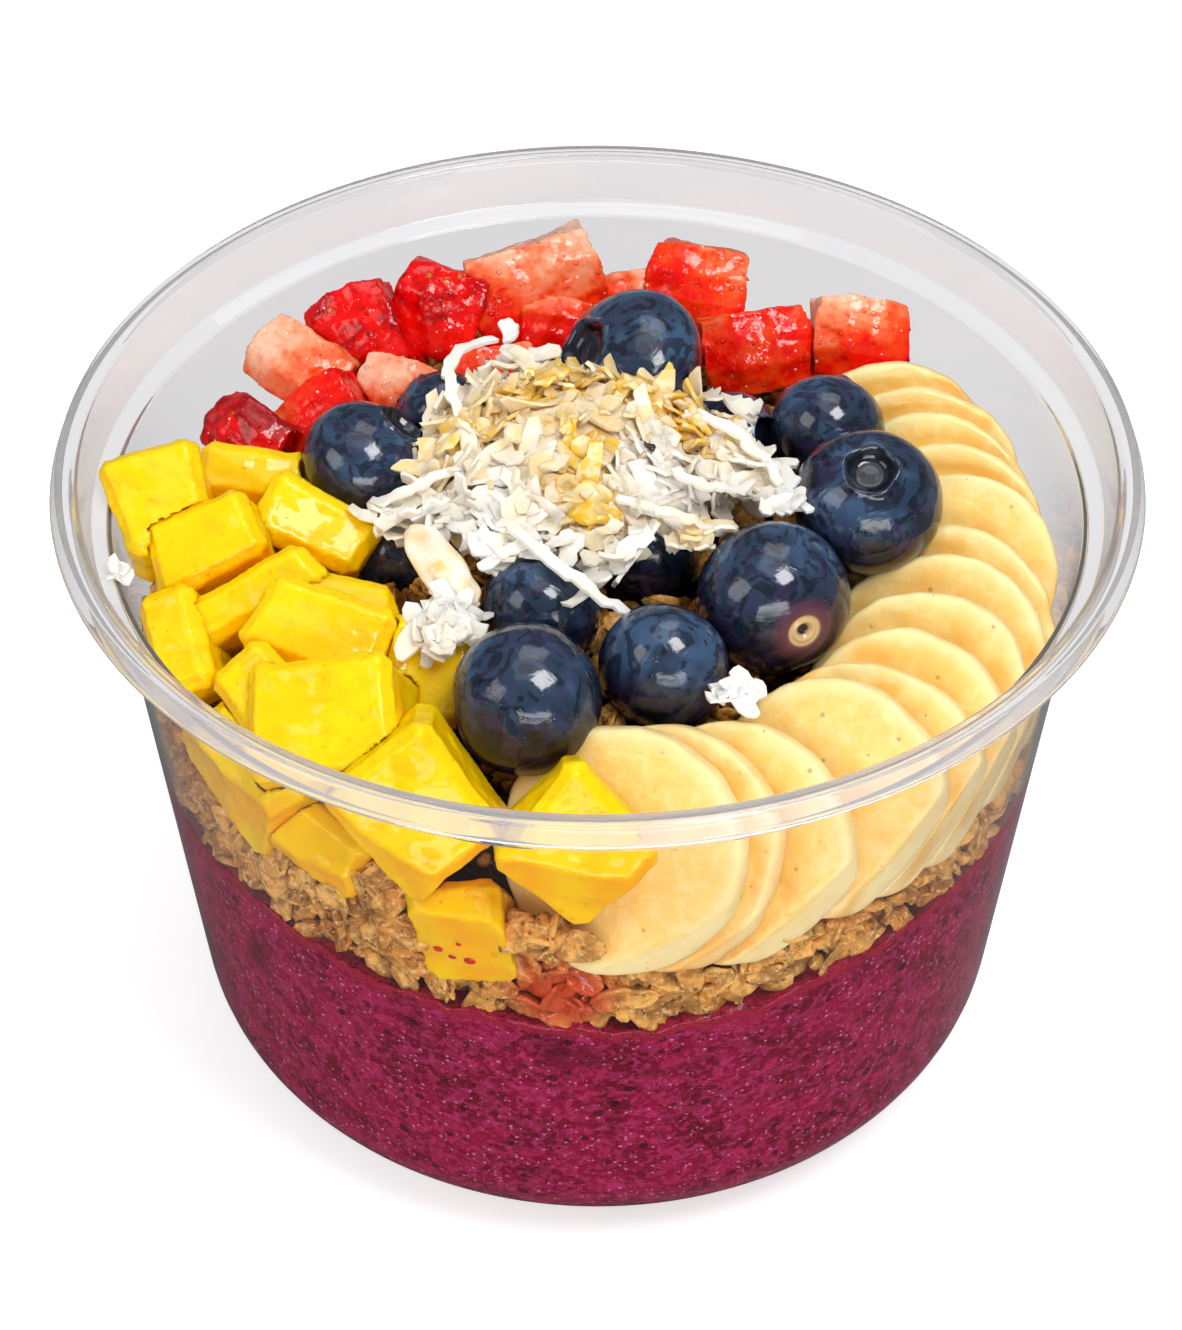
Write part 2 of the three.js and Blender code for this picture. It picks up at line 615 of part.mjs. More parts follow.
function coconutSolid() {
  const draw = makeDraw(5);
  let whole = heapCore(draw);
  const clear = (solid) => fruit.every((piece) => solid.intersect(piece.userData.grown).volume() < 0.001);
  for (const strand of strands) {
    let solid = solidOf(strandGeometry(strand));
    for (const piece of fruit) {
      const other = piece.userData.grown;
      if (solid.intersect(other).volume() > 0) solid = solid.subtract(other);
    }
    whole = whole.add(mainBody(solid));
  }
  let placedShreds = 0;
  for (let tries = 0; tries < 1500 && placedShreds < heap.shreds; tries++) {
    const angle = 2 * Math.PI * draw();
    const out = Math.sqrt(draw()) * 1.02;
    const lift = Math.sqrt(Math.max(0, 1.05 - out * out));
    const at = [
      heap.at[0] + heap.reach[0] * out * Math.cos(angle),
      heap.at[1] + heap.reach[1] * out * Math.sin(angle),
      heap.at[2] + heap.reach[2] * 0.86 * lift,
    ];
    const azimuth = THREE.MathUtils.radToDeg(angle) + 90 + mix(-40, 40, draw());
    const slope = 90 - 70 * out ** 2 + mix(-25, 20, draw());
    const shred = solidOf(placed(shredGeometry(draw), at, azimuth, slope, 360 * draw()));
    if (!clear(shred) || shred.intersect(whole).volume() < 0.08 * shred.volume()) continue;
    whole = whole.add(shred);
    placedShreds++;
  }
  return mainBody(whole);
}

const acaiBowl = new THREE.Group();
acaiBowl.add(toMesh("pot", potGeometry(), "pot"));
acaiBowl.add(toMesh("acai", acaiGeometry(), "acai"));
acaiBowl.add(toMesh("granola", geometryOf(granolaSolid(fruit)), "granola"));
acaiBowl.add(...fruit);
acaiBowl.add(toMesh("coconut", geometryOf(coconutSolid()), "coconut"));

export default acaiBowl;
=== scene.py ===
# Acai bowl in a clear plastic pot. Metres, +Z up, the front is -Y, and every piece lies where the solids say.
import math
import random

import bpy
from mathutils import Matrix, Vector, noise
from mathutils.bvhtree import BVHTree


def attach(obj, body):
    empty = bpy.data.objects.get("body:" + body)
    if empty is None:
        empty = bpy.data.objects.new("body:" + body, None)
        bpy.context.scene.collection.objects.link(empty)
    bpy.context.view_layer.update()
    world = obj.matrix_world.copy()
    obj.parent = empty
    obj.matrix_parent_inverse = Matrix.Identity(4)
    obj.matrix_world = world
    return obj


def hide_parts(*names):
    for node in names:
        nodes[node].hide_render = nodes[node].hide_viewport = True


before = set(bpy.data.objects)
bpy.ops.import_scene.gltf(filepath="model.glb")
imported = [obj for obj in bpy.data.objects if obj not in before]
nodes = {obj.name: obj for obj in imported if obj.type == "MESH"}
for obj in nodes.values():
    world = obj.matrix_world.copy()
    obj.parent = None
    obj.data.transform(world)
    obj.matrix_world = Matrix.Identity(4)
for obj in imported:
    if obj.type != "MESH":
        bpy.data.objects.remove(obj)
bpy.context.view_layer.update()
mm = 0.001


def only(piece):
    # leaves one object selected and active, in object mode
    if bpy.context.object and bpy.context.object.mode != "OBJECT":
        bpy.ops.object.mode_set(mode="OBJECT")
    bpy.ops.object.select_all(action="DESELECT")
    piece.select_set(True)
    bpy.context.view_layer.objects.active = piece
    return piece


def applied(kind, **settings):
    # adds a modifier to the active piece and applies it
    bpy.ops.object.modifier_add(type=kind)
    modifier = bpy.context.object.modifiers[-1]
    for key, value in settings.items():
        setattr(modifier, key, value)
    bpy.ops.object.modifier_apply(modifier=modifier.name)


def roughen(size, strength):
    # uneven skin on the active piece, in mm
    texture = bpy.data.textures.new("unevenness", "CLOUDS")
    texture.noise_scale = size * mm
    texture.noise_depth = 2
    applied("DISPLACE", texture=texture, strength=strength * mm, mid_level=0.5, texture_coords="LOCAL")


def begun(addPrimitive, **settings):
    # a new primitive, with nothing else selected
    bpy.ops.object.select_all(action="DESELECT")
    addPrimitive(**settings)
    return bpy.context.object


def spunPiece(name, profile, steps):
    # a chain of vertices drawn in the XZ plane, in mm, and spun round Z
    piece = begun(bpy.ops.mesh.primitive_plane_add, size=mm, location=(0, 0, 0))
    piece.name = name
    bpy.ops.object.mode_set(mode="EDIT")
    bpy.ops.mesh.select_all(action="SELECT")
    bpy.ops.mesh.merge(type="CENTER")
    bpy.ops.transform.translate(value=(profile[0][0] * mm, 0, profile[0][1] * mm))
    for (r0, z0), (r1, z1) in zip(profile, profile[1:]):
        step = ((r1 - r0) * mm, 0, (z1 - z0) * mm)
        bpy.ops.mesh.extrude_region_move(TRANSFORM_OT_translate={"value": step})
    bpy.ops.mesh.select_all(action="SELECT")
    bpy.ops.mesh.spin(steps=steps, angle=2 * math.pi, center=(0, 0, 0), axis=(0, 0, 1))
    bpy.ops.mesh.select_all(action="SELECT")
    bpy.ops.mesh.remove_doubles(threshold=0.002 * mm)
    bpy.ops.mesh.normals_make_consistent(inside=False)
    bpy.ops.object.mode_set(mode="OBJECT")
    return piece


def copied(piece, name):
    twin = bpy.data.objects.new(name, piece.data.copy())
    bpy.context.collection.objects.link(twin)
    return only(twin)


def fromNode(node, voxel, smoothing):
    # a softened copy of a solid: doubles merged, remeshed and smoothed
    piece = copied(nodes[node], node + "_piece")
    piece.data.materials.clear()
    bpy.ops.object.mode_set(mode="EDIT")
    bpy.ops.mesh.select_all(action="SELECT")
    bpy.ops.mesh.remove_doubles(threshold=0.01 * mm)
    bpy.ops.object.mode_set(mode="OBJECT")
    applied("REMESH", mode="VOXEL", voxel_size=voxel * mm)
    applied("SMOOTH", factor=0.5, iterations=smoothing)
    return piece


def turnTo(azimuth, elevation, roll=0):
    # local +Z points to a compass direction: azimuth 0 is the front, 90 the right
    a, e = math.radians(azimuth), math.radians(elevation)
    out = Vector((math.cos(e) * math.sin(a), -math.cos(e) * math.cos(a), math.sin(e)))
    right = Vector((math.cos(a), math.sin(a), 0))
    basis = Matrix((right, out.cross(right), out)).transposed()
    return (basis @ Matrix.Rotation(math.radians(roll), 3, "Z")).to_4x4()


def placeAt(at, azimuth, elevation, roll=0, scale=(1, 1, 1)):
    moved = Matrix.Translation(Vector(at) * mm)
    return moved @ turnTo(azimuth, elevation, roll) @ Matrix.Diagonal((*scale, 1))


def finishPiece(piece, material, slot, *replaced, angle=180):
    piece.data.materials.clear()
    piece.data.materials.append(material)
    only(piece)
    bpy.ops.object.shade_smooth_by_angle(angle=math.radians(angle))
    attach(piece, "root")
    if replaced:
        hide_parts(*replaced)


def tag(piece, name, values):
    # a number for each vertex, read by the material
    layer = piece.data.attributes.get(name) or piece.data.attributes.new(name, "FLOAT", "POINT")
    layer.data.foreach_set("value", values)


def joined(pieces, name):
    bpy.ops.object.select_all(action="DESELECT")
    for piece in pieces:
        piece.select_set(True)
    bpy.context.view_layer.objects.active = pieces[0]
    bpy.ops.object.join()
    whole = bpy.context.object
    whole.name = name
    return whole


def scattered(name, shapes, places):
    # copies of a few small shapes, (shape, matrix, tone), joined into one piece
    copies = []
    for index, matrix, tone in places:
        twin = bpy.data.objects.new("bit", shapes[index].data.copy())
        bpy.context.collection.objects.link(twin)
        twin.data.transform(matrix)
        tag(twin, "tone", [tone] * len(twin.data.vertices))
        copies.append(twin)
    return joined(copies, name)


def discard(pieces):
    for piece in pieces:
        bpy.data.objects.remove(piece)


def mix(a, b, t):
    return a + (b - a) * t


def curved(a, b, c, t):
    # a point of the curve from a to c that b pulls
    return a * (1 - t) ** 2 + b * 2 * t * (1 - t) + c * t ** 2


def feed(tree, socket, value):
    # links what varies over the surface, and sets what doesn't
    if isinstance(value, bpy.types.NodeSocket):
        tree.links.new(value, socket)
    else:
        socket.default_value = value


def node(tree, kind, inputs=None, **settings):
    made = tree.nodes.new(kind)
    for key, value in settings.items():
        setattr(made, key, value)
    for key, value in (inputs or {}).items():
        feed(tree, made.inputs[key], value)
    return made


def newMaterial(name):
    material = bpy.data.materials.new(name)
    material.use_nodes = True
    tree = material.node_tree
    return material, tree, tree.nodes["Principled BSDF"]


def setShader(tree, shader, values):
    for key, value in values.items():
        feed(tree, shader.inputs[key], value)


def newEffect(name, inputs, outputs):
    group = bpy.data.node_groups.new(name, "ShaderNodeTree")
    for label, kind, value in inputs:
        socket = group.interface.new_socket(label, in_out="INPUT", socket_type="NodeSocket" + kind)
        if value is not None:
            socket.default_value = value
    for label, kind in outputs:
        group.interface.new_socket(label, in_out="OUTPUT", socket_type="NodeSocket" + kind)
    return group, node(group, "NodeGroupInput").outputs, node(group, "NodeGroupOutput").inputs


def useEffect(tree, group, **inputs):
    return node(tree, "ShaderNodeGroup", inputs, node_tree=group).outputs


def maths(tree, operation, *values, clamp=False):
    inputs = dict(enumerate(values))
    return node(tree, "ShaderNodeMath", inputs, operation=operation, use_clamp=clamp).outputs[0]


def blended(tree, share, first, second):
    # mixes two colours by a share from 0 to 1
    made = node(tree, "ShaderNodeMix", {0: share}, data_type="RGBA")
    for index, colour in ((6, first), (7, second)):
        feed(tree, made.inputs[index], colour if isinstance(colour, bpy.types.NodeSocket) else (*colour, 1))
    return made.outputs[2]


def layered(tree, colour, *layers):
    # lays colours over a first one, each by its mask and strength
    for mask, strength, over in layers:
        colour = blended(tree, maths(tree, "MULTIPLY", mask, strength), colour, over)
    return colour


def stepped(tree, value, low, high):
    # smooth step from 0 at low to 1 at high
    inputs = {0: value, 1: low, 2: high}
    return node(tree, "ShaderNodeMapRange", inputs, interpolation_type="SMOOTHSTEP").outputs[0]


def opposite(tree, mask):
    return maths(tree, "SUBTRACT", 1, mask)


def attribute(tree, name):
    return node(tree, "ShaderNodeAttribute", attribute_name=name).outputs["Fac"]


# soft patches, for colour that drifts over a surface
blotches, given, result = newEffect(
    "blotches",
    [("Place", "Vector", None), ("Scale", "Float", 300), ("Low", "Float", 0.4), ("High", "Float", 0.6)],
    [("Mask", "Float"), ("Height", "Float")],
)
cloud = node(blotches, "ShaderNodeTexNoise", {
    "Vector": given["Place"], "Scale": given["Scale"], "Detail": 2.0, "Roughness": 0.65,
}).outputs[0]
blotches.links.new(stepped(blotches, cloud, given["Low"], given["High"]), result["Mask"])
blotches.links.new(cloud, result["Height"])

# small dots, of which only a share is kept
flecks, given, result = newEffect(
    "flecks",
    [("Place", "Vector", None), ("Scale", "Float", 600), ("Size", "Float", 0.2), ("Share", "Float", 0.3)],
    [("Mask", "Float")],
)
cells = node(flecks, "ShaderNodeTexVoronoi", {"Vector": given["Place"], "Scale": given["Scale"]})
split = node(flecks, "ShaderNodeSeparateColor", {0: cells.outputs["Color"]})
chosen = maths(flecks, "LESS_THAN", split.outputs[0], given["Share"])
grow = maths(flecks, "MULTIPLY", given["Size"], maths(flecks, "ADD", split.outputs[1], 0.4))
near = maths(flecks, "SUBTRACT", 1, maths(flecks, "DIVIDE", cells.outputs["Distance"], grow), clamp=True)
near = maths(flecks, "MULTIPLY", near, 3, clamp=True)
flecks.links.new(maths(flecks, "MULTIPLY", chosen, near), result["Mask"])

# fine unevenness of a wet cut surface
wetSkin, given, result = newEffect(
    "wetSkin",
    [
        ("Place", "Vector", None), ("Coarse", "Float", 500), ("Fine", "Float", 2200),
        ("Fine share", "Float", 0.3),
    ],
    [("Height", "Float")],
)
relief = []
for size, detail in (("Coarse", 1.5), ("Fine", 1.0)):
    inputs = {"Vector": given["Place"], "Scale": given[size], "Detail": detail}
    relief.append(node(wetSkin, "ShaderNodeTexNoise", inputs).outputs[0])
wetSkin.links.new(maths(wetSkin, "MULTIPLY_ADD", relief[1], given["Fine share"], relief[0]), result["Height"])


def objectPlace(tree):
    return node(tree, "ShaderNodeTexCoord").outputs["Object"]


def patches(tree, scale, low, high):
    return useEffect(tree, blotches, Place=objectPlace(tree), Scale=scale, Low=low, High=high)


def dots(tree, scale, size, share):
    return useEffect(tree, flecks, Place=objectPlace(tree), Scale=scale, Size=size, Share=share)["Mask"]


def wetness(tree, coarse, fine):
    return useEffect(tree, wetSkin, Place=objectPlace(tree), Coarse=coarse, Fine=fine)["Height"]


def facingUp(tree):
    # how far the surface faces up, from -1 to 1
    facing = node(tree, "ShaderNodeNewGeometry").outputs["True Normal"]
    return node(tree, "ShaderNodeSeparateXYZ", {0: facing}).outputs[2]


def bumped(tree, height, distance, strength):
    # a normal for relief of a height in mm
    inputs = {"Height": height, "Distance": distance * mm, "Strength": strength}
    return node(tree, "ShaderNodeBump", inputs).outputs[0]


view = {"place": (-0.0007, -0.36065, 0.36531), "along": (0, 0.7499, -0.6616), "lens": 116.96, "sensor": 36}

camera = bpy.data.objects.new("camera", bpy.data.cameras.new("camera"))
bpy.context.collection.objects.link(camera)
camera.location = view["place"]
camera.rotation_euler = Vector(view["along"]).to_track_quat("-Z", "Y").to_euler()
camera.data.lens = view["lens"]
camera.data.sensor_width = view["sensor"]
camera.data.clip_start = 0.01
bpy.context.scene.camera = camera
bpy.context.scene.view_settings.view_transform = "Standard"

pot = {
    "rimRadius": 58.5, "height": 77.2, "baseRadius": 32.0, "corner": 13.7, "wall": 0.7, "lean": 6.95,
    "ledgeDepth": 6.1, "ledge": 2.1, "flange": 3.1, "skirt": 2.4, "around": 160,
    # the foot's flat, where the wall is straight, and how far in from the outside nothing else may come
    "flat": 20, "straight": (20, 62), "wallTop": 71, "clear": 0.75,
    # tint, bending of light and milkiness
    "rimPlastic": ((0.99, 0.985, 0.99), 1.44, 0.12), "wallPlastic": ((0.945, 0.933, 0.94), 1.2, 0),
    "shadowTint": (0.97, 0.96, 0.97), "milk": (0.96, 0.95, 0.96),
}
lean = math.radians(pot["lean"])
cornerTopRadius = pot["baseRadius"] + pot["corner"] * math.cos(lean)
cornerTopHeight = pot["corner"] * (1 - math.sin(lean))


def outerRadius(height):
    if height >= cornerTopHeight:
        return cornerTopRadius + (height - cornerTopHeight) * math.tan(lean)
    return pot["baseRadius"] + math.sqrt(pot["corner"] ** 2 - (pot["corner"] - height) ** 2)


def cornerArc(inset, steps):
    points = []
    for i in range(steps + 1):
        angle = mix(-math.pi / 2, -lean, i / steps)
        reach = pot["corner"] - inset
        points.append((pot["baseRadius"] + reach * math.cos(angle), pot["corner"] + reach * math.sin(angle)))
    return points


def eased(points, radius, steps=4):
    # rounds every inner corner of a profile
    made = [points[0]]
    for before, here, after in zip(points, points[1:], points[2:]):
        a, b, c = Vector(before), Vector(here), Vector(after)
        reach = min(radius, (a - b).length * 0.45, (c - b).length * 0.45)
        start, end = b + (a - b).normalized() * reach, b + (c - b).normalized() * reach
        made += [tuple(curved(start, b, end, i / steps)) for i in range(steps + 1)]
    return made + [points[-1]]


def keepInPot(piece):
    # nothing comes nearer to the pot's outside than the wall is thick
    for vertex in piece.data.vertices:
        x, y, z = vertex.co / mm
        limit = outerRadius(min(z, pot["wallTop"])) - pot["clear"]
        reach = math.hypot(x, y)
        if reach > limit:
            vertex.co.x *= limit / reach
            vertex.co.y *= limit / reach


def wallSteps(inset, low, high, steps):
    heights = [mix(low, high, i / steps) for i in range(steps + 1)]
    return [(outerRadius(height) - inset, height) for height in heights]


def makePot():
    t, top, rim = pot["wall"], pot["height"], pot["rimRadius"]
    ledgeHeight = top - pot["ledgeDepth"]
    ledgeInner = outerRadius(ledgeHeight) - t
    flangeInner = rim - pot["flange"]
    lip = [
        (outerRadius(ledgeHeight - 4), ledgeHeight - 4),
        (outerRadius(ledgeHeight - 0.6), ledgeHeight - 0.6),
        (ledgeInner + pot["ledge"] + t, ledgeHeight - 0.2),
        (flangeInner + t, top - t - 0.2),
        (rim - 1.5, top - t),
        (rim - t, top - pot["skirt"]),
        (rim, top - pot["skirt"]),
        (rim - 0.8, top),
        (flangeInner + 0.5, top),
        (flangeInner, top - 0.6),
        (ledgeInner + pot["ledge"], ledgeHeight + 0.6),
        (ledgeInner, ledgeHeight),
        (outerRadius(ledgeHeight - 4) - t, ledgeHeight - 4),
    ]
    flat, straight = pot["flat"], pot["straight"]
    outside = [(0, 0), (flat, 0)] + cornerArc(0, 14) + wallSteps(0, *straight, 4)
    inside = wallSteps(t, *straight, 4)[::-1] + cornerArc(t, 14)[::-1] + [(flat, t), (0, t)]
    return spunPiece("pot_shell", outside + eased(lip, 0.3) + inside, pot["around"])


def makePlastic(name):
    tint, bending, milky = pot[name]
    material, tree, shader = newMaterial(name)
    setShader(tree, shader, {
        "Base Color": (*tint, 1), "Roughness": 0.02, "IOR": bending, "Transmission Weight": 1.0,
    })
    body = shader.outputs[0]
    if milky:
        veil = node(tree, "ShaderNodeBsdfDiffuse", {"Color": (*pot["milk"], 1)})
        body = node(tree, "ShaderNodeMixShader", {0: milky, 1: body, 2: veil.outputs[0]}).outputs[0]
    # light reaches the contents straight through
    clear = node(tree, "ShaderNodeBsdfTransparent", {"Color": (*pot["shadowTint"], 1)})
    ray = node(tree, "ShaderNodeLightPath").outputs
    straight = maths(tree, "MAXIMUM", ray["Is Shadow Ray"], ray["Is Diffuse Ray"])
    both = node(tree, "ShaderNodeMixShader", {0: straight, 1: body, 2: clear.outputs[0]})
    tree.links.new(both.outputs[0], tree.nodes["Material Output"].inputs["Surface"])
    return material


shell = makePot()
finishPiece(shell, makePlastic("rimPlastic"), "pot", "pot", angle=40)
shell.data.materials.append(makePlastic("wallPlastic"))
underLedge = pot["height"] - pot["ledgeDepth"] - 2
for face in shell.data.polygons:
    face.material_index = 1 if face.center.z / mm < underLedge else 0
print("pot done")

acai = {
    "side": 44.3, "frontDip": 4.9, "brim": 40.0, "intoWall": 0.45, "around": 360,
    "deep": (0.15, 0.0, 0.014), "mid": (0.26, 0.0, 0.034), "pale": (0.52, 0.03, 0.15),
    "dark": (0.022, 0.0005, 0.008), "wet": (0.30, 0.0, 0.022), "ice": (0.78, 0.34, 0.52),
    "shade": (0.09, 0.0, 0.014),
    # painted shade where the pulp would have hollow places at the wall, though its surface isn't dented:
    # bearing in degrees, height, width, depth of the shade
    "shadePockets": [
        (-49, 33.5, 1.6, 1.1), (-51, 31.0, 1.3, 1.0), (-5, 35.2, 1.8, 1.3), (-1, 34.6, 1.4, 1.2),
        (-24, 35.6, 1.2, 0.9), (12, 27, 0.9, 0.7), (-17, 21, 0.9, 0.7), (31, 30, 1.0, 0.8),
        (-34, 26, 0.8, 0.6), (44, 20, 0.8, 0.6), (3, 14, 0.8, 0.5), (80, 30, 1.4, 0.9),
        (140, 34, 1.5, 1.0), (-120, 28, 1.4, 1.0), (175, 22, 1.2, 0.8),
    ],
}


def bearing(x, y):
    return math.atan2(x, -y)


def acaiTop(x, y):
    b = bearing(x, y)
    edge = math.hypot(x, y) / 49
    dip = acai["frontDip"] * math.exp(-((b / 0.72) ** 2))
    ripple = 0.35 * math.sin(9 * b) + 0.3 * math.sin(5 * b + 1)
    return acai["side"] - (dip + ripple) * edge ** 2 - 1.2 * (1 - edge)


def pocketShade(b, z):
    # the painted shade of the hollow places near a point on the side
    deep = 0.0
    for degrees, height, width, depth in acai["shadePockets"]:
        across = (b - math.radians(degrees)) * outerRadius(z)
        along = (z - height) * 0.8
        far = (across * across + along * along) / (width * width)
        if far < 6:
            deep += depth * math.exp(-far) * (1 + 0.5 * noise.noise(Vector((across, along, height))))
    return deep


def makeAcai():
    inset = acai["intoWall"]
    rings = [0.994, 0.982, 0.965, 0.945, 0.92, 0.88, 0.82, 0.74, 0.6, 0.4, 0.2]
    wallTop = outerRadius(acai["brim"]) - inset
    side = cornerArc(inset, 12) + wallSteps(inset, 14, acai["brim"], 30)
    profile = [(0, inset)] + side + [(wallTop * share, acai["brim"]) for share in rings] + [(0, acai["brim"])]
    piece = spunPiece("acai_pulp", profile, acai["around"])
    depths, paintedShades = [], []
    for vertex in piece.data.vertices:
        x, y, z = vertex.co / mm
        reach = math.hypot(x, y)
        b = bearing(x, y)
        # the edge is uneven where spoon and granola pressed it
        ragged = 1.1 * noise.noise(Vector((x, y, 0)) * 0.25) + 0.9 * noise.noise(Vector((x, y, 4)) * 0.75)
        crown = acaiTop(x, y) + ragged
        hollow = 0.0
        if z > acai["brim"] - 0.01:
            lumps = 0.8 * noise.noise(Vector((x, y, 9)) * 0.7) + 0.3 * noise.noise(Vector((x, y, 2)) * 2.0)
            edge = min(max((wallTop - reach) / (0.05 * wallTop), 0), 1)
            level = crown + (lumps - 0.3) * edge
            scale = (outerRadius(level) - inset) / wallTop if reach > wallTop * 0.9 else 1
            vertex.co = Vector((x * scale, y * scale, level)) * mm
            depth = 0.0
        else:
            level = z
            if z > 20:
                # side rows spread up to the edge
                level = mix(20, crown, (z - 20) / (acai["brim"] - 20))
            depth = crown - level
            if reach > 20 and z > 6:
                # painted shade of hollow places; it doesn't move the surface
                hollow = pocketShade(b, level)
                scale = (outerRadius(level) - inset) / reach
                vertex.co = Vector((x * scale, y * scale, level)) * mm
        depths.append(depth)
        paintedShades.append(min(hollow, 1.0))
    tag(piece, "depth", depths)
    tag(piece, "hollow", paintedShades)
    return piece


def makePulp():
    material, tree, shader = newMaterial("acaiPulp")
    broad = patches(tree, 170.0, 0.4, 0.6)
    patch = patches(tree, 520.0, 0.50, 0.56)
    small = patches(tree, 1150.0, 0.53, 0.58)
    crisp, seeds = dots(tree, 1700.0, 0.30, 0.30), dots(tree, 620.0, 0.30, 0.18)
    # a wet lip just under the top edge
    under = maths(tree, "SUBTRACT", attribute(tree, "depth"), maths(tree, "MULTIPLY", broad["Height"], 1.6))
    wet = opposite(tree, stepped(tree, under, 0.3, 1.1))
    colour = layered(
        tree, blended(tree, broad["Mask"], acai["deep"], acai["mid"]),
        (patch["Mask"], 0.28, acai["pale"]), (small["Mask"], 0.42, acai["pale"]), (crisp, 0.5, acai["ice"]),
        # painted shade where the pulp would have hollow places at the wall
        (seeds, 0.7, acai["dark"]), (attribute(tree, "hollow"), 0.8, acai["shade"]), (wet, 0.9, acai["wet"]),
    )
    height = maths(tree, "ADD", patch["Height"], small["Height"])
    height = maths(tree, "SUBTRACT", height, maths(tree, "MULTIPLY", seeds, 0.6))
    sparks = maths(tree, "MULTIPLY", dots(tree, 1100.0, 0.32, 0.4), wet)
    setShader(tree, shader, {
        "Base Color": colour, "Roughness": 0.5, "Specular IOR Level": 0.12,
        "Coat Weight": maths(tree, "MULTIPLY", wet, 0.6), "Coat Roughness": 0.08,
        "Normal": bumped(tree, maths(tree, "MULTIPLY_ADD", sparks, 1.5, height), 0.7, 1.0),
    })
    return material


finishPiece(makeAcai(), makePulp(), "acai", "acai")
print("acai done")


def treeOf(names):
    points, faces = [], []
    for name in names:
        start = len(points)
        mesh = nodes[name].data
        points += [v.co.copy() for v in mesh.vertices]
        faces += [[start + i for i in p.vertices] for p in mesh.polygons]
    return BVHTree.FromPolygons(points, faces)


def inside(tree, point):
    # True where the point is under the nearest surface
    found = tree.find_nearest(point)
    return found[0] is not None and (point - found[0]).dot(found[1]) < 0


# what the small bits keep clear of
fruits = ("mango", "strawberry", "banana", "blueberry")
fruitNames = [name for name in nodes if name.split("_")[0] in fruits]
fruitTree = treeOf(fruitNames)
berryTree = treeOf([name for name in nodes if name.startswith("blueberry")])

granola = {
    "low": 39, "high": 63,
    # clusters, flakes and crumbs at the wall: how many, how far apart, how deep, how clear of fruit
    "atWall": [(175, 4.0, (2.1, 3.0), 1.5), (330, 2.3, (0.9, 2.4), 0.8), (420, 1.7, (0.8, 3.4), 0.5)],
    # the same over the top: how many, how far apart, how clear of fruit
    "overTop": [(90, 4.0, 1.6), (230, 2.4, 0.9), (260, 1.6, 0.5)],
    "tan": (0.62, 0.23, 0.030), "gold": (0.98, 0.52, 0.12), "brown": (0.13, 0.030, 0.005),
    # under is painted shade, for bits deep in the heap and the body behind them
    "pale": (0.97, 0.66, 0.27), "syrup": (0.62, 0.045, 0.002), "under": (0.035, 0.012, 0.006),
    "stained": (-0.0035, -0.047, 0.0445),  # where syrup has run into it, in metres
}


def granolaLevel(x, y):
    b = bearing(x, y)
    edge = min(math.hypot(x, y) / 49, 1)
    left = math.exp(-(((b + 1.0) / 0.75) ** 2))
    back = math.exp(-(((abs(b) - math.pi) / 0.9) ** 2))
    return mix(64.5, 48 + 7.5 * left + 8 * back, edge ** 2.4)


def oatFlake(seed):
    # a rolled oat: a curled oval with a crease along it and a ragged edge
    draw = random.Random(seed)
    curl, lean = draw.uniform(0.05, 0.13), draw.uniform(-0.06, 0.06)
    piece = begun(bpy.ops.mesh.primitive_uv_sphere_add, segments=12, ring_count=6, radius=2.3 * mm)
    for vertex in piece.data.vertices:
        x, y, z = vertex.co / mm
        ragged = 1 + 0.3 * noise.noise(Vector((x, y, seed * 7.0)) * 0.8)
        crease = 0.5 * math.exp(-((y / 0.4) ** 2)) * (1 if z > 0 else 0.5)
        height = z * 0.26 - crease + curl * (x * x + 1.6 * y * y) + lean * x * y
        vertex.co = Vector((x * ragged, y * 0.74 * ragged, height)) * mm
    return piece


def oatBall(seed, size, finer):
    # a small uneven lump of baked oats
    piece = begun(bpy.ops.mesh.primitive_ico_sphere_add, subdivisions=finer, radius=size * mm)
    for vertex in piece.data.vertices:
        p = vertex.co / mm
        fold = 0.5 * noise.noise(p * 0.6 + Vector((seed * 5.0, 0, 0)))
        ridge = 0.5 * abs(noise.noise(p * 1.4 + Vector((0, seed * 3.0, 0))))
        vertex.co = p * (1 + fold - ridge) * mm
    return piece


def oatCluster(seed):
    # flakes baked together round a lump
    draw = random.Random(seed * 17)
    pieces = [oatBall(seed, 1.5, 2)]
    for i in range(5):
        flake = oatFlake(seed * 11 + i)
        size = draw.uniform(0.6, 0.95)
        out = Vector((draw.gauss(0, 1), draw.gauss(0, 1), draw.gauss(0, 1) + 0.5)).normalized()
        turn = out.to_track_quat("Z", "Y").to_matrix().to_4x4()
        turn = turn @ Matrix.Rotation(draw.uniform(0, 6.28), 4, "Z")
        flake.data.transform(Matrix.Translation(out * 1.25 * mm) @ turn @ Matrix.Scale(size, 4))
        pieces.append(flake)
    return joined(pieces, "cluster")


def nutSliver():
    # a slice of almond: thin, pointed at one end
    piece = begun(bpy.ops.mesh.primitive_uv_sphere_add, segments=12, ring_count=6, radius=3 * mm)
    for vertex in piece.data.vertices:
        x, y, z = vertex.co / mm
        vertex.co = Vector((x, y * 0.6 * (1 - 0.08 * x), z * 0.2 + 0.03 * x * x)) * mm
    return piece


def fits(at, spacing, clear, centres):
    # True where a bit touches neither fruit nor another bit
    if inside(fruitTree, at * mm) or any((at - other).length < spacing for other in centres):
        return False
    found = fruitTree.find_nearest(at * mm)
    return found[0] is None or (found[0] - at * mm).length >= clear * mm


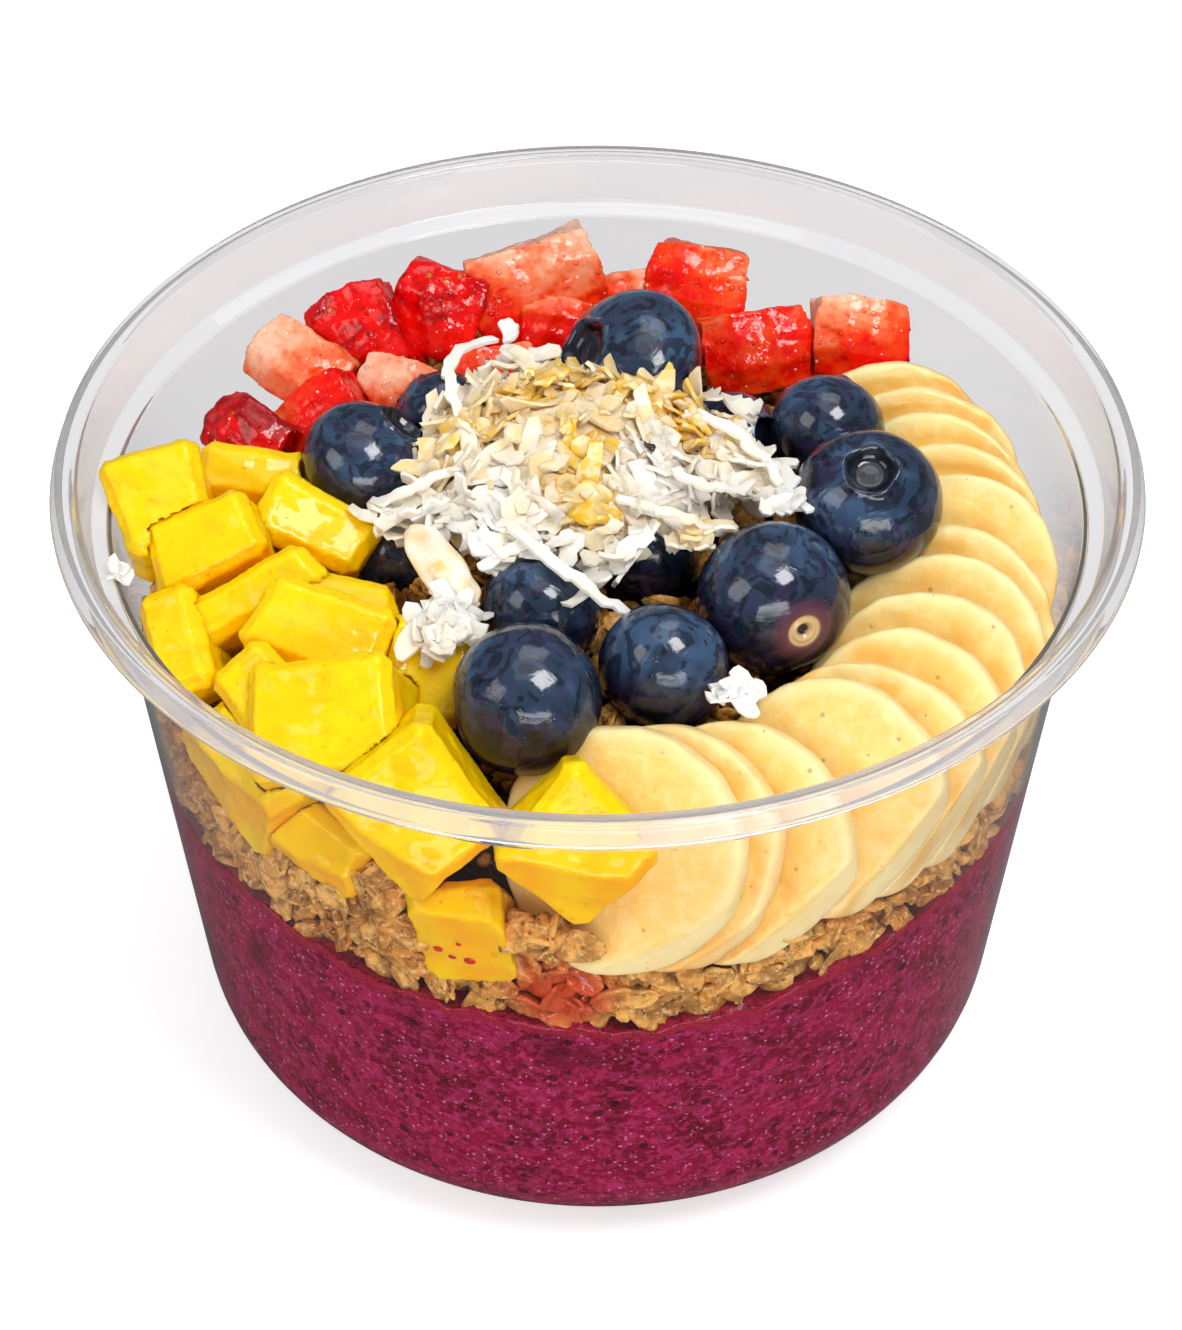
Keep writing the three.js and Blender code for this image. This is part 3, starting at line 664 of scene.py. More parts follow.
def fillWall(shapes, count, spacing, depth, clear, seed, centres):
    # drops copies into the band between the acai and the fruit, against the wall
    draw = random.Random(seed)
    places, tries = [], 0
    while len(places) < count and tries < 16000:
        tries += 1
        b = math.radians(draw.uniform(-180, 180))
        height = draw.uniform(granola["low"], granola["high"])
        reach = outerRadius(height) - pot["wall"] - draw.uniform(*depth)
        at = Vector((reach * math.sin(b), -reach * math.cos(b), height))
        if height < acaiTop(at.x, at.y) + clear * 0.75 or height > granolaLevel(at.x, at.y) + 2.5:
            continue
        if not fits(at, spacing, clear, centres):
            continue
        size = draw.uniform(0.9, 1.3)
        azimuth = math.degrees(b) + draw.uniform(-45, 45)
        matrix = placeAt(at, azimuth, draw.uniform(-25, 60), draw.uniform(0, 360), (size, size, size))
        places.append((draw.randrange(len(shapes)), matrix, draw.random()))
        centres.append(at)
    return places


def fillTop(shapes, count, spacing, clear, seed, centres):
    # drops copies over the granola's top where no fruit covers it
    draw = random.Random(seed)
    places, tries = [], 0
    while len(places) < count and tries < 9000:
        tries += 1
        around, reach = draw.uniform(0, 2 * math.pi), 45 * math.sqrt(draw.random())
        x, y = reach * math.sin(around), -reach * math.cos(around)
        at = Vector((x, y, granolaLevel(x, y) + draw.uniform(-0.8, 0.4)))
        if not fits(at, spacing, clear, centres):
            continue
        size = draw.uniform(0.85, 1.2)
        kind, azimuth = draw.randrange(len(shapes)), draw.uniform(0, 360)
        matrix = placeAt(at, azimuth, draw.uniform(30, 90), draw.uniform(0, 360), (size, size, size))
        places.append((kind, matrix, draw.random()))
        centres.append(at)
    return places


def paintDeepShade(piece):
    # painted shade: bits further in from the wall and lower under the granola's top are coloured darker, as
    # if in the dark between the others
    far = []
    for vertex in piece.data.vertices:
        x, y, z = vertex.co / mm
        inward = outerRadius(min(z, pot["wallTop"])) - pot["wall"] - math.hypot(x, y) - 0.9
        under = granolaLevel(x, y) - z + 1.5
        far.append(min(1.0, max(0.0, min(inward, under) / 2.0)))
    tag(piece, "far", far)


def makeGranola():
    core = fromNode("granola", 0.7, 3)
    for vertex in core.data.vertices:
        # the body stands back from the wall, behind its loose bits
        reach = math.hypot(vertex.co.x, vertex.co.y) / mm
        back = mix(1, 0.95, min(max((reach - 38) / 8, 0), 1))
        vertex.co.x *= back
        vertex.co.y *= back
    roughen(2.6, 1.8)
    roughen(0.9, 0.7)
    # painted shade: a negative tone colours the body nearly as dark as the deep bits
    tag(core, "tone", [-0.9] * len(core.data.vertices))
    tag(core, "far", [0.0] * len(core.data.vertices))
    kinds = {
        "granola_clusters": [oatCluster(i + 1) for i in range(5)],
        "granola_flakes": [oatFlake(i + 1) for i in range(5)] + [nutSliver()],
        "granola_crumbs": [oatBall(i + 1, 0.8, 2) for i in range(3)],
    }
    centres, places = [], []
    for i, shapes in enumerate(kinds.values()):
        places.append(fillWall(shapes, *granola["atWall"][i], 21 + i, centres))
    for i, shapes in enumerate(kinds.values()):
        places[i] += fillTop(shapes, *granola["overTop"][i], 24 + i, centres)
    bits = [scattered(name, shapes, places[i]) for i, (name, shapes) in enumerate(kinds.items())]
    for piece, shapes in zip(bits, kinds.values()):
        discard(shapes)
        keepInPot(piece)
        paintDeepShade(piece)
    print("granola bits", [len(rows) for rows in places])
    return core, bits


def makeOats():
    material, tree, shader = newMaterial("bakedOats")
    tone = attribute(tree, "tone")
    broad, small = patches(tree, 420.0, 0.42, 0.62), patches(tree, 1500.0, 0.5, 0.7)
    ends = {0: objectPlace(tree), 1: granola["stained"]}
    away = node(tree, "ShaderNodeVectorMath", ends, operation="DISTANCE").outputs["Value"]
    stain = opposite(tree, stepped(tree, away, 0.003, 0.0075))
    colour = layered(
        tree, blended(tree, maths(tree, "MAXIMUM", tone, 0), granola["tan"], granola["gold"]),
        (broad["Mask"], 0.55, granola["brown"]), (small["Mask"], 0.75, granola["pale"]),
        (dots(tree, 1300.0, 0.35, 0.2), 0.7, granola["brown"]),
        # painted shade on bits deep in the heap, and on the body through its negative tone
        (attribute(tree, "far"), 0.95, granola["under"]),
        (maths(tree, "MULTIPLY", tone, -1), 1.0, granola["under"]), (stain, 0.92, granola["syrup"]),
    )
    setShader(tree, shader, {
        "Base Color": colour, "Roughness": 0.5, "Specular IOR Level": 0.1,
        "Coat Weight": maths(tree, "MULTIPLY_ADD", stain, 0.7, 0.25), "Coat Roughness": 0.1,
        "Normal": bumped(tree, maths(tree, "ADD", small["Height"], broad["Height"]), 0.5, 1.0),
    })
    return material


core, bits = makeGranola()
oats = makeOats()
finishPiece(core, oats, "granola", "granola")
for piece in bits:
    finishPiece(piece, oats, "granola")
print("granola done", [len(piece.data.polygons) for piece in bits])

mango = {
    "voxel": 0.36, "smoothing": 3, "wave": (6.0, 0.9), "grain": (2.2, 0.12), "crisp": (30, 1.5),
    # side is painted shade on faces that point sideways, pale painted light on faces that point up
    "deep": (1.0, 0.34, 0.0), "side": (1.0, 0.43, 0.0), "pale": (1.0, 0.62, 0.0), "lit": (1.0, 0.72, 0.002),
}


def crispen(piece, rounds, strength):
    # raises edges and hollows faces, as a knife leaves them
    soft = copied(piece, "soft")
    applied("SMOOTH", factor=0.5, iterations=rounds)
    most = 0.9 * mm
    for vertex, flat in zip(piece.data.vertices, soft.data.vertices):
        away = vertex.co - flat.co
        vertex.co += away * strength if away.length < most else away * (strength * most / away.length)
    discard([soft])
    only(piece)


def cutPiece(name, look):
    # a solid with soft grain and knife-cut edges
    piece = fromNode(name, look["voxel"], look["smoothing"])
    crispen(piece, *look["crisp"])
    roughen(*look["wave"])
    roughen(*look["grain"])
    return piece


def makeMangoFlesh():
    material, tree, shader = newMaterial("mangoFlesh")
    # painted light and shade: faces that point up are paler yellow, sideways faces deeper orange
    litFromAbove = stepped(tree, facingUp(tree), -0.1, 0.75)
    broad, small = patches(tree, 120.0, 0.36, 0.62), patches(tree, 420.0, 0.5, 0.7)
    colour = layered(
        tree, blended(tree, litFromAbove, mango["side"], mango["pale"]),
        (broad["Mask"], 0.5, mango["lit"]), (small["Mask"], 0.22, mango["deep"]),
    )
    height = maths(tree, "MULTIPLY_ADD", dots(tree, 750.0, 0.2, 0.25), 0.5, wetness(tree, 260.0, 1800.0))
    setShader(tree, shader, {
        "Base Color": colour, "Roughness": 0.35, "Specular IOR Level": 0.08, "Subsurface Weight": 0.5,
        "Subsurface Radius": (1.0, 0.6, 0.02), "Subsurface Scale": 0.0022, "Coat Weight": 0.55,
        "Coat Roughness": 0.04, "Normal": bumped(tree, height, 0.35, 0.9),
    })
    return material


mangoFlesh = makeMangoFlesh()
for name in sorted(n for n in nodes if n.startswith("mango_")):
    finishPiece(cutPiece(name, mango), mangoFlesh, "mango", name)
print("mango done")

strawberry = {
    "voxel": 0.36, "smoothing": 2, "wave": (4.5, 1.1), "grain": (1.5, 0.22), "crisp": (24, 1.3),
    # from the pale heart out to the skin
    "ramp": [
        (0.0, (0.98, 0.52, 0.34)), (0.2, (0.97, 0.26, 0.11)), (0.42, (0.97, 0.07, 0.006)),
        (0.62, (0.96, 0.008, 0.001)), (0.84, (0.80, 0.001, 0.001)), (1.0, (0.34, 0.0, 0.002)),
    ],
    "seed": (0.55, 0.20, 0.01), "glint": (1, 0.86, 0.78),
    # side that the skin is on (azimuth, elevation), ripeness at the heart and at the skin, how seedy
    "pieces": [
        (25, -50, 0.06, 0.80, 0.2), (20, 0, 0.30, 0.62, 0.4), (-40, -20, 0.24, 0.66, 0.3),
        (0, -60, 0.0, 0.70, 0.2), (-10, 30, 0.62, 0.86, 1.0), (60, 30, 0.24, 0.80, 0.3),
        (0, 20, 0.62, 0.92, 1.0), (20, -45, 0.02, 0.45, 0.0), (20, -40, 0.0, 0.42, 0.0),
        (0, -10, 0.1, 0.55, 0.0), (0, -30, 0.25, 0.80, 0.2), (-30, -30, 0.05, 0.50, 0.0),
        (-20, 40, 0.88, 1.0, 0.6),
    ],
}


def makeBerryFlesh():
    material, tree, shader = newMaterial("strawberryFlesh")
    broad, streak = patches(tree, 230.0, 0.35, 0.65), patches(tree, 800.0, 0.45, 0.75)
    drift = attribute(tree, "ripe")
    for mask, strength in ((broad["Mask"], 0.20), (streak["Mask"], 0.14)):
        drift = maths(tree, "MULTIPLY_ADD", maths(tree, "SUBTRACT", mask, 0.5), strength, drift)
    ramp = node(tree, "ShaderNodeValToRGB", {0: drift})
    stops = ramp.color_ramp.elements
    for i, (at, colour) in enumerate(strawberry["ramp"]):
        stop = stops[i] if i < 2 else stops.new(at)
        stop.position, stop.color = at, (*colour, 1)
    seeded = maths(tree, "MULTIPLY", dots(tree, 560.0, 0.2, 0.5), attribute(tree, "peel"))
    colour = layered(
        tree, ramp.outputs[0], (seeded, 0.8, strawberry["seed"]),
        # painted highlights: tiny pale glints in the colour
        (dots(tree, 1250.0, 0.16, 0.22), 0.85, strawberry["glint"]),
    )
    height = maths(tree, "SUBTRACT", wetness(tree, 420.0, 1800.0), maths(tree, "MULTIPLY", seeded, 0.8))
    height = maths(tree, "MULTIPLY_ADD", dots(tree, 800.0, 0.22, 0.45), 1.2, height)
    setShader(tree, shader, {
        "Base Color": colour, "Roughness": 0.12, "Specular IOR Level": 0.4, "Subsurface Weight": 0.25,
        "Subsurface Radius": (1.0, 0.15, 0.08), "Subsurface Scale": 0.0014, "Coat Weight": 0.25,
        "Coat Roughness": 0.03, "Normal": bumped(tree, height, 0.35, 0.85),
    })
    return material


berryFlesh = makeBerryFlesh()
for i, (azimuth, elevation, heart, rind, seeded) in enumerate(strawberry["pieces"]):
    name = f"strawberry_{i + 1}"
    piece = cutPiece(name, strawberry)
    toSkin = turnTo(azimuth, elevation).to_3x3() @ Vector((0, 0, 1))
    along = [v.co.dot(toSkin) for v in piece.data.vertices]
    low, high = min(along), max(along)
    share = [(a - low) / (high - low) for a in along]
    facing = [max(0.0, v.normal.dot(toSkin)) for v in piece.data.vertices]
    tag(piece, "ripe", [mix(heart, rind, min(1.0, 1.15 * s + 0.4 * f)) for s, f in zip(share, facing)])
    tag(piece, "peel", [seeded * min(1.0, 2.5 * f) for f in facing])
    finishPiece(piece, berryFlesh, "strawberry", name)
print("strawberry done")

banana = {
    "diameters": (26.4, 23.2), "thickness": 3.4, "around": 84,
    "flesh": (0.94, 0.66, 0.20), "core": (0.92, 0.58, 0.14),
    "edge": (0.97, 0.80, 0.40), "seed": (0.16, 0.07, 0.02),
    # glaze is honey, and also painted shade along the edge of the slice in front
    "glaze": (0.90, 0.46, 0.06),
    # bearing round the pot, reach, height, azimuth and elevation of the face
    "slices": [
        (3.7, 41.3, 58.4, -24, 36), (9.5, 39.8, 57, -24, 37), (20, 41.2, 56.6, -24, 38),
        (34.8, 41.4, 58.6, -22, 40), (42.3, 41.2, 58.2, -20, 40), (50.4, 41, 58.3, -18, 40),
        (59.5, 39.6, 58.9, -16, 41), (69.8, 39, 59.4, -14, 42), (76.5, 38.6, 58.9, -12, 42),
        (87, 38.4, 61, -8, 42), (94.8, 37.8, 61.2, -6, 40), (102.8, 37.6, 61.6, -4, 39),
        (110, 37.6, 61.8, -2, 38), (117, 37.4, 62, 0, 37),
    ],
}


def bananaShape():
    # one slice, in mm: face up, its rim a little rounded
    h = banana["thickness"] / 2
    r = banana["diameters"][0] / 2
    rings = [r * share for share in (0.16, 0.3, 0.44, 0.56, 0.67, 0.77, 0.85, 0.91)]
    under = [(0, -h)] + [(ring, -h) for ring in rings]
    low = [(r - 0.7, -h), (r - 0.25, -h + 0.15), (r, -h + 0.6)]
    rim = low + [(r + 0.05, 0)] + [(x, -z) for x, z in reversed(low)]
    over = [(ring, h) for ring in reversed(rings)] + [(0, h)]
    return spunPiece("slice", under + rim + over, banana["around"])


def makeSlice(shape, index):
    around, reach, height, azimuth, elevation = banana["slices"][index]
    draw = random.Random(71 + index)
    radius, half = banana["diameters"][0] / 2, banana["thickness"] / 2
    grow = mix(1, banana["diameters"][1] / banana["diameters"][0], index / (len(banana["slices"]) - 1))
    phase, stretch = draw.uniform(0, 6.28), draw.uniform(0.94, 1.0)
    piece = copied(shape, f"banana_{index + 1}_piece")
    local = []
    for vertex in piece.data.vertices:
        x, y, z = vertex.co / mm
        angle = math.atan2(y, x)
        seed = Vector((x, y, index * 9.0))
        share = math.hypot(x, y) / radius
        atRim = min(max((share - 0.85) / 0.12, 0), 1)
        outline = 1 + 0.02 * math.cos(3 * angle + phase) + 0.03 * noise.noise(seed * 0.2)
        outline -= 0.035 * atRim * abs(noise.noise(Vector((x, y, index * 9.0 + z * 0.5)) * 0.75))
        wave = 0.45 * noise.noise(seed * 0.12) + 0.16 * noise.noise(seed * 0.5)
        lift = wave * (1 if abs(z) > 1.6 else 0.5) + (0.25 * (1 - share ** 2) if z > 0 else 0)
        # a step where the softer heart starts
        heart = 0.5 + 0.05 * math.cos(3 * angle + phase)
        lift += 0.12 * math.exp(-((share - heart) / 0.06) ** 2) if z > 1.5 else 0
        local += [x / radius, y / radius, z / half]
        vertex.co = Vector((x * outline * grow, y * outline * grow * stretch, z + lift)) * mm
    layer = piece.data.attributes.new("sliceAt", "FLOAT_VECTOR", "POINT")
    layer.data.foreach_set("vector", local)
    a = math.radians(around)
    at = (reach * math.sin(a), -reach * math.cos(a), height)
    matrix = placeAt(at, azimuth, elevation, draw.uniform(-180, 180))
    piece.data.transform(matrix)
    return piece, matrix, radius * grow


def pressBehind(piece, matrix, reach):
    # a slice bends where it would run into the one in front of it; along that edge honey gathers, and the
    # same mark stands for painted shade from the slice in front
    inverse = matrix.inverted()
    behind = -(banana["thickness"] / 2 + 0.15)
    honey = []
    for vertex in piece.data.vertices:
        p = (inverse @ vertex.co) / mm
        away = math.hypot(p.x, p.y)
        if away < reach + 0.6 and behind < p.z < -behind + 3:
            p.z = behind
            vertex.co = matrix @ (p * mm)
        honey.append(max(0.0, 1 - abs(away - reach - 0.3) / 2.6) if -5 < p.z < 4 else 0.0)
    return honey


def makeBananaFlesh():
    material, tree, shader = newMaterial("bananaFlesh")
    # rings and lobes follow each slice's own face
    at = node(tree, "ShaderNodeAttribute", attribute_name="sliceAt").outputs["Vector"]
    flat = node(tree, "ShaderNodeVectorMath", {0: at, 1: (1, 1, 0)}, operation="MULTIPLY").outputs[0]
    reach = node(tree, "ShaderNodeVectorMath", {0: flat}, operation="LENGTH").outputs["Value"]
    split = node(tree, "ShaderNodeSeparateXYZ", {0: at})
    angle = maths(tree, "ARCTAN2", split.outputs[1], split.outputs[0])
    lobes = maths(tree, "MULTIPLY", maths(tree, "COSINE", maths(tree, "MULTIPLY", angle, 3)), 0.07)
    core = opposite(tree, stepped(tree, maths(tree, "ADD", reach, lobes), 0.30, 0.55))
    grain = {"Vector": at, "Scale": 7.0, "Detail": 3.0, "Distortion": 0.8}
    rays = stepped(tree, node(tree, "ShaderNodeTexNoise", grain).outputs[0], 0.4, 0.65)
    broad, honey = patches(tree, 200.0, 0.4, 0.62), patches(tree, 150.0, 0.42, 0.62)
    runny = maths(tree, "MULTIPLY_ADD", honey["Mask"], 0.8, 0.25)
    # honey along the front slice's edge, which is also painted shade from that slice
    honeyAndShade = maths(tree, "MULTIPLY", attribute(tree, "honey"), runny)
    colour = layered(
        tree, blended(tree, maths(tree, "MULTIPLY", core, 0.55), banana["flesh"], banana["core"]),
        (rays, 0.45, banana["edge"]), (stepped(tree, reach, 0.80, 0.97), 0.85, banana["edge"]),
        (broad["Mask"], 0.16, banana["glaze"]), (honeyAndShade, 0.8, banana["glaze"]),
        (dots(tree, 650.0, 0.16, 0.12), 0.45, banana["seed"]),
    )
    height = maths(tree, "MULTIPLY_ADD", broad["Height"], 0.8, wetness(tree, 330.0, 1700.0))
    height = maths(tree, "MULTIPLY_ADD", dots(tree, 620.0, 0.16, 0.12), 0.6, height)
    setShader(tree, shader, {
        "Base Color": colour, "Roughness": 0.4, "Specular IOR Level": 0.3, "Subsurface Weight": 0.3,
        "Subsurface Radius": (1.0, 0.6, 0.2), "Subsurface Scale": 0.0014,
        "Coat Weight": maths(tree, "MULTIPLY_ADD", honeyAndShade, 0.7, 0.2), "Coat Roughness": 0.06,
        "Normal": bumped(tree, height, 0.3, 0.8),
    })
    return material


sliceShape = bananaShape()
bananaFlesh = makeBananaFlesh()
before = []
for i in range(len(banana["slices"])):
    piece, matrix, reach = makeSlice(sliceShape, i)
    honey = [0.0] * len(piece.data.vertices)
    for earlier in before[-2:]:
        honey = pressBehind(piece, *earlier)
    tag(piece, "honey", honey)
    before.append((matrix, reach))
    keepInPot(piece)
    only(piece)
    applied("SUBSURF", levels=1, render_levels=1)
    finishPiece(piece, bananaFlesh, "banana", f"banana_{i + 1}")
discard([sliceShape])
print("banana done")

blueberry = {
    "around": 50, "dark": (0.003, 0.004, 0.009), "bloom": (0.046, 0.095, 0.18),
    "violet": (0.018, 0.009, 0.036), "pore": (0.002, 0.002, 0.005), "hollow": (0.006, 0.005, 0.008),
    "scar": (0.62, 0.42, 0.20), "halo": (0.16, 0.045, 0.075), "pith": (0.02, 0.012, 0.01),
    # radius, squat, place, azimuth and elevation of the crown
    "berries": [
        (8, 0.94, (-7.3, -29.7, 68.5), 150, -20), (6.9, 0.88, (6.9, -23.2, 67.2), 160, -10),
        (8.3, 0.94, (18.6, -13.2, 68.2), 25, 8), (8.1, 0.93, (29, -1.8, 72), -4, 68),
        (6.5, 0.92, (25.4, 13.4, 69.8), 160, 20), (7.3, 0.9, (-25.3, 7.8, 69.5), 110, 48),
        (9.8, 0.72, (3.3, 22.3, 71), -75, 40), (6.5, 0.9, (-6, -14.6, 67.5), 175, 10),
        (5.6, 0.92, (15, 15.8, 66.5), 60, 30), (6.1, 0.92, (5.1, -3, 66), -160, 0),
        (5.3, 0.92, (-17.5, 19, 67.4), -120, 30), (5.6, 0.92, (-21.3, -0.7, 63), 170, 0),
    ],
    "scarred": 2,  # the berry that lies stem up
}


def berryShape(scarred):
    # local +Z is the crown, or the stem's scar on the berry that lies the other way up; radius 1 mm
    profile = [(math.cos(math.radians(a)), math.sin(math.radians(a))) for a in range(-90, 58, 8)]
    if scarred:
        profile += [(0.34, 0.925), (0.24, 0.93), (0.20, 0.90), (0.17, 0.90), (0.145, 0.93), (0.11, 0.92)]
        profile += [(0.08, 0.86), (0, 0.84)]
    else:
        profile += [(0.42, 0.895), (0.385, 0.935), (0.36, 0.965), (0.325, 0.96), (0.29, 0.90), (0.25, 0.82)]
        profile += [(0.18, 0.79), (0.09, 0.80), (0, 0.81)]
    piece = spunPiece("berry", profile, blueberry["around"])
    crater, ring = [], []
    for vertex in piece.data.vertices:
        x, y, z = vertex.co / mm
        reach, angle = math.hypot(x, y), math.atan2(y, x)
        up = z > 0.6
        crater.append(min(1.0, max(0.0, (0.36 - reach) / 0.05)) if up else 0.0)
        ring.append(max(0.0, 1 - reach / 0.62) if up and scarred else 0.0)
        if not scarred and z > 0.78 and reach > 0.2:
            # five pointed sepals fold outwards round the crater
            lobe = 0.5 + 0.5 * math.cos(5 * angle)
            stand = max(0.0, 1 - abs(reach - 0.35) / 0.09)
            z += 0.03 * stand * (lobe - 0.5)
            flare = 1 + 0.14 * stand * lobe
            x, y = x * flare, y * flare
        dent = 1 + 0.03 * noise.noise(Vector((x, y, z)) * 1.3)
        vertex.co = Vector((x * dent, y * dent, z * dent)) * mm
    tag(piece, "crater", crater)
    tag(piece, "scar", ring)
    return piece


def makeBerrySkin():
    material, tree, shader = newMaterial("blueberrySkin")
    broad, small = patches(tree, 140.0, 0.44, 0.58), patches(tree, 480.0, 0.47, 0.60)
    streaks = {"Vector": objectPlace(tree), "Scale": 230.0, "Detail": 3.0, "Distortion": 2.6}
    scratch = node(tree, "ShaderNodeTexNoise", streaks).outputs[0]
    unrubbed = opposite(tree, maths(tree, "MULTIPLY", stepped(tree, scratch, 0.5, 0.56), 0.7))
    scar, crater = attribute(tree, "scar"), attribute(tree, "crater")
    dust = maths(tree, "MULTIPLY", maths(tree, "MULTIPLY_ADD", broad["Mask"], 0.6, 0.4), unrubbed)
    # bloom is the berry's own wax; its share grows on faces that point up, a painted reflection of the sky
    skyReflection = maths(tree, "MULTIPLY_ADD", stepped(tree, facingUp(tree), -0.1, 0.8), 0.85, 0.05)
    rim = opposite(tree, stepped(tree, scar, 0.84, 0.9))
    colour = layered(
        tree, blended(tree, small["Mask"], blueberry["dark"], blueberry["violet"]),
        (maths(tree, "MULTIPLY", dust, skyReflection), 1, blueberry["bloom"]),
        (dots(tree, 750.0, 0.33, 0.22), 0.7, blueberry["pore"]), (crater, 0.85, blueberry["hollow"]),
        (stepped(tree, scar, 0.15, 0.7), 0.8, blueberry["halo"]),
        (maths(tree, "MULTIPLY", stepped(tree, scar, 0.62, 0.68), rim), 1, blueberry["scar"]),
        (stepped(tree, scar, 0.86, 0.92), 1, blueberry["pith"]),
    )
    height = maths(tree, "MULTIPLY_ADD", small["Height"], 0.7, scratch)
    height = maths(tree, "MULTIPLY_ADD", dots(tree, 520.0, 0.15, 0.16), 0.4, height)
    setShader(tree, shader, {
        "Base Color": colour, "Roughness": 0.12, "Specular IOR Level": 0.5,
        "Coat Weight": 0.45, "Coat Roughness": 0.03, "Coat IOR": 1.5,
        "Normal": bumped(tree, height, 0.22, 0.4),
    })
    return material


plainBerry, scarredBerry = berryShape(False), berryShape(True)
berrySkin = makeBerrySkin()
for i, (radius, squat, at, azimuth, elevation) in enumerate(blueberry["berries"]):
    shape = scarredBerry if i == blueberry["scarred"] else plainBerry
    piece = copied(shape, f"blueberry_{i + 1}_piece")
    spinBy = random.Random(i + 5).uniform(0, 360)
    piece.data.transform(placeAt(at, azimuth, elevation, spinBy, (radius, radius, radius * squat)))
    applied("SUBSURF", levels=1, render_levels=1)
    finishPiece(piece, berrySkin, "blueberry", f"blueberry_{i + 1}")
discard([plainBerry, scarredBerry])
print("blueberry done")

coconut = {
    "at": (-2.5, 6, 69.6), "reach": (18, 15, 9.6), "floor": 66.5, "top": 80.0, "flakes": 330,
    "white": (0.97, 0.94, 0.88), "cream": (0.97, 0.84, 0.58), "honey": (0.95, 0.55, 0.05),
    # length, width and share of each kind of shred
    "shreds": [
        (6.5, 2.2, 5), (8.5, 1.9, 4), (5.0, 2.8, 4), (10, 1.7, 2),
        (4.2, 2.2, 4), (7.5, 1.5, 4), (6, 3.0, 3), (3.2, 1.6, 3),
    ],
    # where honey has run over it: x, y, radius
    "honeyed": [
        (-15, 5, 4), (-5.7, 12.1, 4.8), (4.6, 11, 4.8), (-0.8, -5.5, 4),
        (11, 8, 3.8), (-3, 2, 3.2), (14.6, -3.9, 2.4), (10.8, -9.3, 2.2),
    ],
    # looser bits round the heap: x, y, z, spread, how many
    "clumps": [
        (-21, -2.5, 70.5, 2.6, 16), (-16.5, -4, 71.5, 3.2, 26), (-10, -9.5, 72.5, 3.6, 30),
        (-3, -12.5, 72, 3.2, 16), (5, -8.5, 73.5, 3, 12), (14, 4, 73.6, 3.2, 22), (17.5, 0, 73, 2.6, 10),
        (-16.5, -21.6, 71, 2.3, 26), (-14.8, -18.6, 70.4, 2.2, 14), (14.5, 12.9, 73, 1.6, 5),
        (14.2, -28.6, 68.6, 1.1, 6), (-50.4, -13.4, 71.9, 0.6, 3), (-9, 19, 75.6, 2.4, 8),
        (11, -9.6, 73.4, 1.8, 8), (20.5, -4, 74.4, 1.2, 4),
    ],
    # long shreds over the berries: width and three points
    "strands": [
        (1.9, [(-10.2, -9, 75.6), (-4.5, -15.5, 75.2), (3.4, -19.2, 70.6)]),
        (1.7, [(9.5, 7.7, 76.4), (15.5, 4.2, 76), (20.5, -3, 73.6)]),
        (1.7, [(-14.4, 6.6, 76), (-16, 14.6, 77.6), (-11.4, 21.6, 76.2)]),
        (1.9, [(8, -1, 75.8), (13, -4, 75.6), (17, 0.6, 73.4)]),
        (1.8, [(-14, 2, 74.5), (-19.6, -1.5, 74), (-24.6, -1, 70.8)]),
        (1.5, [(2, -6, 76), (8.4, -8.6, 75.6), (12.6, -8, 73.2)]),
    ],
}
glaze = {
    "colour": (0.95, 0.52, 0.02), "speck": (0.02, 0.010, 0.005),
    # x, y, long, wide
    "pools": [
        (-15.6, 4.6, 2.6, 1.8), (-5.2, 12.4, 2.7, 1.8), (4.4, 11, 2.4, 1.7),
        (-0.4, -6.2, 3.1, 2.1), (11, 7.4, 2.0, 1.4), (-3.2, 2.4, 1.5, 1.0),
    ],
    "specks": [(5.6, 0.4), (0.6, -6.2), (1.9, -7.8)],
}
almond = {"from": (-19.4, -6.8, 72.4), "to": (-13.4, -17.4, 71.4), "wide": 2.7, "deep": 1.7}


def ribbon(seed, length, width, cells, ragged, thick=0.42):
    # a flat strip with a torn edge, in mm along X
    draw = random.Random(seed)
    piece = begun(bpy.ops.mesh.primitive_grid_add, x_subdivisions=cells, y_subdivisions=2, size=1 * mm)
    for vertex in piece.data.vertices:
        u, w = 2 * vertex.co.x / mm, 2 * vertex.co.y / mm
        taper = mix(1, 0.7, abs(u) ** 3)
        y = w * width / 2 * taper * (draw.uniform(1 - ragged, 1 + ragged) if abs(w) > 0.5 else 1)
        x = u * length / 2 + draw.uniform(-0.3, 0.3) * length / cells
        vertex.co = Vector((x, y, 0.06 * draw.uniform(-1, 1))) * mm
    only(piece)
    applied("SOLIDIFY", thickness=thick * mm, offset=0)
    return piece


def shredShape(seed, length, width):
    # a short shred, curled and cupped
    draw = random.Random(seed * 3)
    piece = ribbon(seed, length, width, 6, 0.42)
    curl, twist = draw.uniform(-0.02, 0.09), draw.uniform(-0.2, 0.2)
    sway, cup = draw.uniform(-0.04, 0.04), draw.uniform(-0.3, 0.3)
    for vertex in piece.data.vertices:
        x, y, z = vertex.co / mm
        up = z + curl * x * x + cup * y * y
        turned = Matrix.Rotation(twist * x, 3, "X") @ Vector((x, y, up))
        vertex.co = (turned + Vector((0, sway * x * x, 0))) * mm
    return piece


